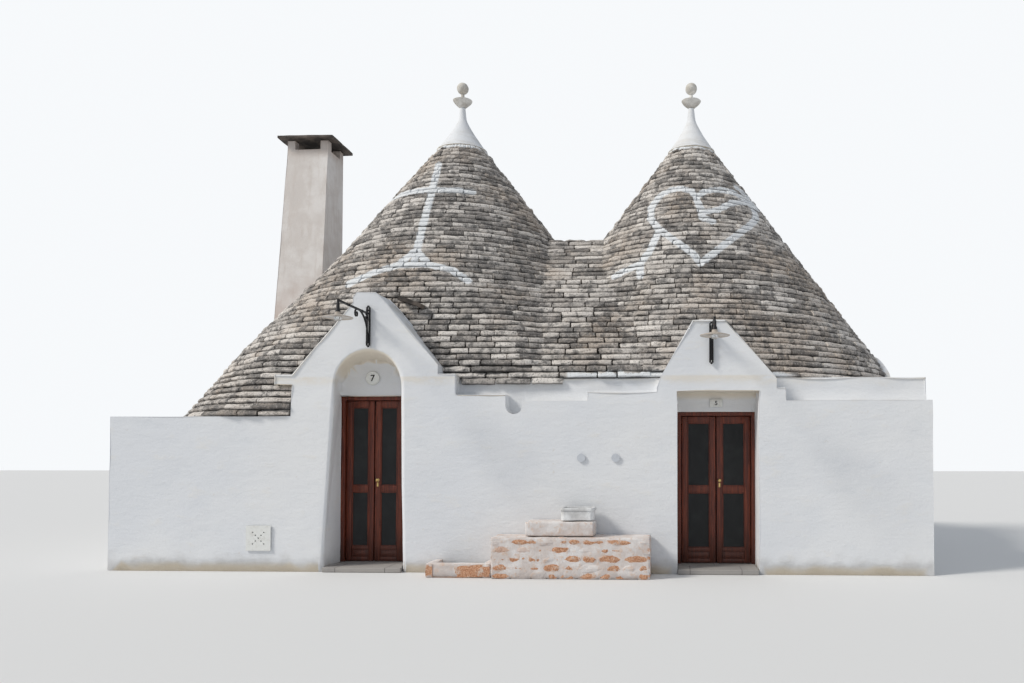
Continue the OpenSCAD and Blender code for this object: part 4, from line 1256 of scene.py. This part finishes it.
def bracket(bm, foot_z, top_z, hang_y):
    """A wrought bracket with scrolls, made round the place where its arm meets the wall."""
    for x in (-0.016, 0.016):
        block(bm, (x - 0.010, -0.022, foot_z + 0.02), (x + 0.010, 0, top_z - 0.02), 0.004)
    for z in (foot_z + 0.05, top_z - 0.07):
        block(bm, (-0.026, -0.026, z), (0.026, 0, z + 0.02), 0.003)
    for z, up in ((foot_z, 1), (top_z, -1)):
        finial = ((0.0, 0.0), (0.012, 0.004), (0.016, 0.014), (0.010, 0.024), (0.0, 0.026))
        lathe(bm, [(radius, rise * up) for radius, rise in finial], (0, -0.014, z), 16)
    strip(bm, [Vector((0, -0.015, 0)), Vector((0, hang_y - 0.004, 0))], ARM_HALF, ARM_HALF)
    brace = [Vector((0, -0.026 - BRACE_R * (1 - math.cos(a)), -BRACE_R * (1 - math.sin(a))))
             for a in np.linspace(0.0, math.pi / 2, 16)]
    strip(bm, [Vector((0, -0.022, foot_z + 0.06)), *brace], 0.010, 0.005)
    strip(bm, spiral(-0.087, -0.074, 0.060, 0.016, -1.3), 0.010, 0.004)
    strip(bm, spiral(brace[-1].y - 0.050, -0.060, 0.047, 0.014, 1.3), 0.010, 0.004)
    holder = [(0.0, 0.0), (0.030, 0.0), (0.026, 0.03), (0.019, 0.045), (0.019, HOLDER - 0.02),
              (0.012, HOLDER - 0.008), (0.012, HOLDER + 0.004), (0.0, HOLDER + 0.004)]
    lathe(bm, holder, (0, hang_y, -HOLDER - 0.017), 20)
    for y in (-0.22, -0.62):
        block(bm, (-0.015, y - 0.012, -0.015), (0.015, y + 0.012, 0.013), 0.003)


def lamp(door, iron, shade, glass):
    """A lamp bracket with a flat enamelled shade over a small globe."""
    node = door + "_lamp_bracket"
    low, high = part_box(node)
    shade_low, shade_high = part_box(door + "_lamp_shade")
    hang = middle(door + "_lamp_shade")
    root = Vector(((low.x + high.x) / 2, high.y, shade_high.z + HOLDER + 0.013))
    bm = bmesh.new()
    bracket(bm, low.z - root.z, high.z - root.z, hang.y - root.y)
    bmesh.ops.translate(bm, vec=root, verts=bm.verts)
    piece(door + "_lamp_ironwork", outward(bm), iron, replaced=(node,), smooth=35)

    rim = (shade_high.x - shade_low.x) / 2
    height = shade_high.z - shade_low.z
    outline = [(0.0, 0.016), (rim * 0.5, 0.014), (rim * 0.94, 0.006), (rim * 0.97, 0.0), (rim, 0.002),
               (rim, 0.009), (rim * 0.9, 0.014)]
    outline += [(rim * radius, height * z) for radius, z in (
        (0.55, 0.40), (0.30, 0.58), (0.20, 0.64), (0.20, 0.95), (0.15, 1.0), (0.0, 1.0))]
    globe = [(GLOBE_R * math.sin(a), 0.018 - 0.6 * GLOBE_R * (1 - math.cos(a)))
             for a in np.linspace(0.0, math.pi, 13)]
    place = (hang.x, hang.y, shade_low.z)
    node = door + "_lamp_shade"
    bm = outward(lathe(bmesh.new(), outline, place, 56))
    piece(door + "_lamp_enamel_shade", bm, shade, replaced=(node,), smooth=40)
    bm = outward(lathe(bmesh.new(), globe, place, 32))
    piece(door + "_lamp_globe", bm, glass, smooth=60)


def leaning_slab(stone):
    """The loose dark slab that lies on the roof behind the coping of gable seven."""
    bm = bmesh.new()
    block(bm, (-0.17, -0.10, -0.035), (0.17, 0.10, 0.035), 0.012)
    gridded(bm, 0.06)
    uneven(bm, depth=0.02, size=0.07, seed=7.0, grounded=False)
    turned(bm, LEANING_AT, 20, "Y")
    piece("leaning_slab", outward(bm), stone, smooth=35)


# Tiles and plates

def digit(name, figure, x, z, front, size, material):
    """A plain house number, as a thin raised figure."""
    text = bpy.data.curves.new(name, "FONT")
    text.body = figure
    text.size = size
    text.extrude = 0.0012
    text.offset = size * 0.02
    text.align_x = text.align_y = "CENTER"
    source = placed(name + "_source", text)
    bm = baked(source, [source])
    turned(bm, (x, front, z))
    piece(name, bm, material)


# Number tiles: the middle height of each, and half the oblong one's width and height
SEVEN_TILE_Z = 2.425
FIVE_TILE_Z = 2.090
FIVE_TILE_HALF_W = 0.080
FIVE_TILE_HALF_H = 0.050
# Radii of the round tile, and shares of its thickness
SEVEN_TILE_SHAPE = (
    (0.0, 0.0), (0.090, 0.0), (0.090, 0.8), (0.086, 1.0), (0.080, 0.9), (0.076, 0.6), (0.0, 0.6),
)


def number_tiles(glaze, ink):
    """A round tile with a raised rim and a small oblong one, each with its number."""
    node = "number_tiles"
    low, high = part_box(node)
    tile_t = high.y - low.y
    bm = lathe(bmesh.new(), [(radius, tile_t * share) for radius, share in SEVEN_TILE_SHAPE], (0, 0, 0))
    turned(bm, (SEVEN_X, high.y, SEVEN_TILE_Z))
    block(bm, (FIVE_X - FIVE_TILE_HALF_W, low.y, FIVE_TILE_Z - FIVE_TILE_HALF_H),
          (FIVE_X + FIVE_TILE_HALF_W, high.y, FIVE_TILE_Z + FIVE_TILE_HALF_H), 0.004)
    piece(node + "_glazed", outward(bm), glaze, replaced=(node,), smooth=35)
    digit("figure_seven", "7", SEVEN_X, SEVEN_TILE_Z, high.y - tile_t * 0.6, 0.115, ink)
    digit("figure_five", "5", FIVE_X, FIVE_TILE_Z, low.y, 0.075, ink)


def dress(node, material):
    """Gives a CAD node that keeps its shape its finish."""
    mesh = frame["nodes"][node].data
    mesh.materials.clear()
    mesh.materials.append(material)


# Bench

def box_run(low, high):
    """The three open sides of a box that stands against the wall, as the slabs run along them."""
    side = [(low.x, float(y)) for y in np.arange(high.y, low.y, -STEP)]
    front = [(float(x), low.y) for x in np.arange(low.x, high.x, STEP)]
    other = [(high.x, float(y)) for y in np.arange(low.y, high.y, STEP)]
    return [side, front, other]


def bench_stones(tree, shapes, stone, worn, plaster):
    """Rubble stones in courses of unlike heights, bedded in limewashed mortar."""
    for node, course, longest, seed, material in (
            ("bench_base", 0.096, 0.34, 21, stone), ("planter_kerb", 0.17, 0.62, 23, worn)):
        low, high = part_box(node)
        rng = random.Random(seed)
        count = round((high.z - low.z) / course)
        shares = [rng.uniform(0.8, 1.2) for _ in range(count)]
        places = []
        z = low.z
        for share in shares:
            tall = (high.z - low.z) * share / sum(shares)
            for run in box_run(low, high):
                places += split(run, z, rng, longest * 0.4, longest, joint=0.016, depth=0.09, tall=tall)
            z += tall
        made = lay(node + "_stones", tree, shapes, places, material,
                   set_back=0.008, tilt=math.radians(4), roughness=0.016, seed=seed)
        settle(made, None)
        bm = gridded(rounded(copied(node), 0.03), 0.05)
        rim_z = high.z - 0.03
        uneven(bm, depth=0.020, size=0.11, seed=seed, fade=lambda point: 0.4 if point.z > rim_z else 1.0)
        bmesh.ops.triangulate(bm, faces=bm.faces)
        piece(node + "_mortar", bm, plaster, replaced=(node,), smooth=40)


# Light, floor and camera

SKY = 0.48
SUN = 2.3
SUN_FROM = (-0.95, -0.48, 0.90)
CAMERA_AT = (2.02, -13.3, 1.44)
CAMERA_LENS = 29.0
CAMERA_SHIFT = (-0.125, 0.088)
CAMERA_TURN = 2.6
CAMERA_RISE = 1.6


def stage_and_light():
    """A pale floor, one soft sun from the left and an even sky."""
    bm = bmesh.new()
    bmesh.ops.create_grid(bm, x_segments=1, y_segments=1, size=60.0)
    floor = solid("pale_floor", bm)
    floor.location = (0, 0, -0.002)
    floor.data.materials.append(Finish("pale_floor", 0.9).done((0.74, 0.74, 0.74)))

    world = bpy.data.worlds.new("plain_sky")
    bpy.context.scene.world = world
    world.use_nodes = True
    tree = world.node_tree
    rays = tree.nodes.new("ShaderNodeLightPath").outputs
    kinds = ("Camera", "Glossy", "Transmission")
    camera_ray, *mirrored = (Value(tree, rays[f"Is {kind} Ray"]) for kind in kinds)
    light = node_value(tree, "ShaderNodeBackground", {"Color": (0.86, 0.92, 1.0), "Strength": SKY})
    backdrop = node_value(tree, "ShaderNodeBackground", {"Color": (0.93, 0.95, 0.97), "Strength": 1.0})
    seen = camera_ray.most(mirrored[0]).most(mirrored[1])
    blend = node_value(tree, "ShaderNodeMixShader", {0: seen, 1: light, 2: backdrop})
    feed(tree, tree.nodes["World Output"].inputs["Surface"], blend)
    tree.nodes.remove(tree.nodes["Background"])

    sun = bpy.data.lights.new("soft_sun", "SUN")
    sun.energy = SUN
    sun.angle = math.radians(14)
    sun.color = (1.0, 0.955, 0.88)
    placed("soft_sun", sun).rotation_euler = Vector(SUN_FROM).to_track_quat("Z", "Y").to_euler()


def camera():
    lens = bpy.data.cameras.new("camera")
    lens.lens = CAMERA_LENS
    lens.sensor_width = 36.0
    lens.shift_x, lens.shift_y = CAMERA_SHIFT
    lens.clip_end = 200.0
    made = placed("camera", lens)
    made.location = CAMERA_AT
    made.rotation_euler = (math.radians(90 + CAMERA_RISE), 0.0, math.radians(CAMERA_TURN))
    bpy.context.scene.camera = made


def main():
    white = limewash()
    plaster = old_plaster()
    flags = flagstone()
    wood = mahogany()
    iron = painted_iron()
    wire = wire_cloth()
    brass = worn_brass()
    glass = lamp_glass()
    glaze = enamel("tile_glaze", (0.78, 0.79, 0.77), (0.55, 0.53, 0.48))
    shade = enamel("shade_enamel", (0.50, 0.44, 0.38), (0.30, 0.25, 0.20), 0.35)
    cover = enamel("cover_paint", (0.55, 0.58, 0.63), (0.45, 0.47, 0.50), 0.5)
    carved = rubble("carved_stone", (0.82, 0.80, 0.76), (0.54, 0.51, 0.46), 0.012)
    basin = rubble("basin_stone", (0.80, 0.81, 0.82), (0.56, 0.56, 0.56), 0.02)
    slab = rubble("dark_slab", (0.16, 0.13, 0.11), (0.045, 0.038, 0.034), 0.012)
    warm = warm_rubble("warm_rubble", 0.80)
    kerb = warm_rubble("warm_kerb", 1.1, 1.9)
    washed = warm_rubble("washed_mortar", -0.1)
    shapes = slab_shapes()
    tree = slab_tree()

    roofs(tree, shapes)
    limewashed_walls(white)
    party_gables(white)
    vaults()
    for side in ("left", "right"):
        cap(side, white, carved)
    softened("chimney_shaft", plaster, edge=0.018, cell=0.20, depth=0.012, size=0.4)
    softened("chimney_cap", slab, edge=0.012, cell=0.12, depth=0.012, size=0.2, seed=2.0)
    dress("floor", flags)
    softened("doorsteps", flags, edge=0.010, cell=0.15, depth=0.006, size=0.2, seed=3.0)
    for door in ("seven", "five"):
        frame_of(door, wood)
        for side in ("left", "right"):
            leaf(door, side, wood, iron, wire)
        knob(door, brass)
        lamp(door, iron, shade, glass)
    number_tiles(glaze, iron)
    dress("vent_tile", glaze)
    dress("cover_plates", cover)
    bench_stones(tree, shapes, warm, kerb, washed)
    softened("bench_block", washed, edge=0.026, cell=0.06, depth=0.014, size=0.16, seed=6.0)
    leaning_slab(slab)
    softened("bench_basin", basin, edge=0.022, cell=0.05, depth=0.012, size=0.12, seed=5.0)

    for shape in list(shapes.objects):
        bpy.data.objects.remove(shape)
    bpy.data.collections.remove(shapes)
    stage_and_light()
    camera()
    bpy.context.scene.view_settings.view_transform = "Standard"


main()
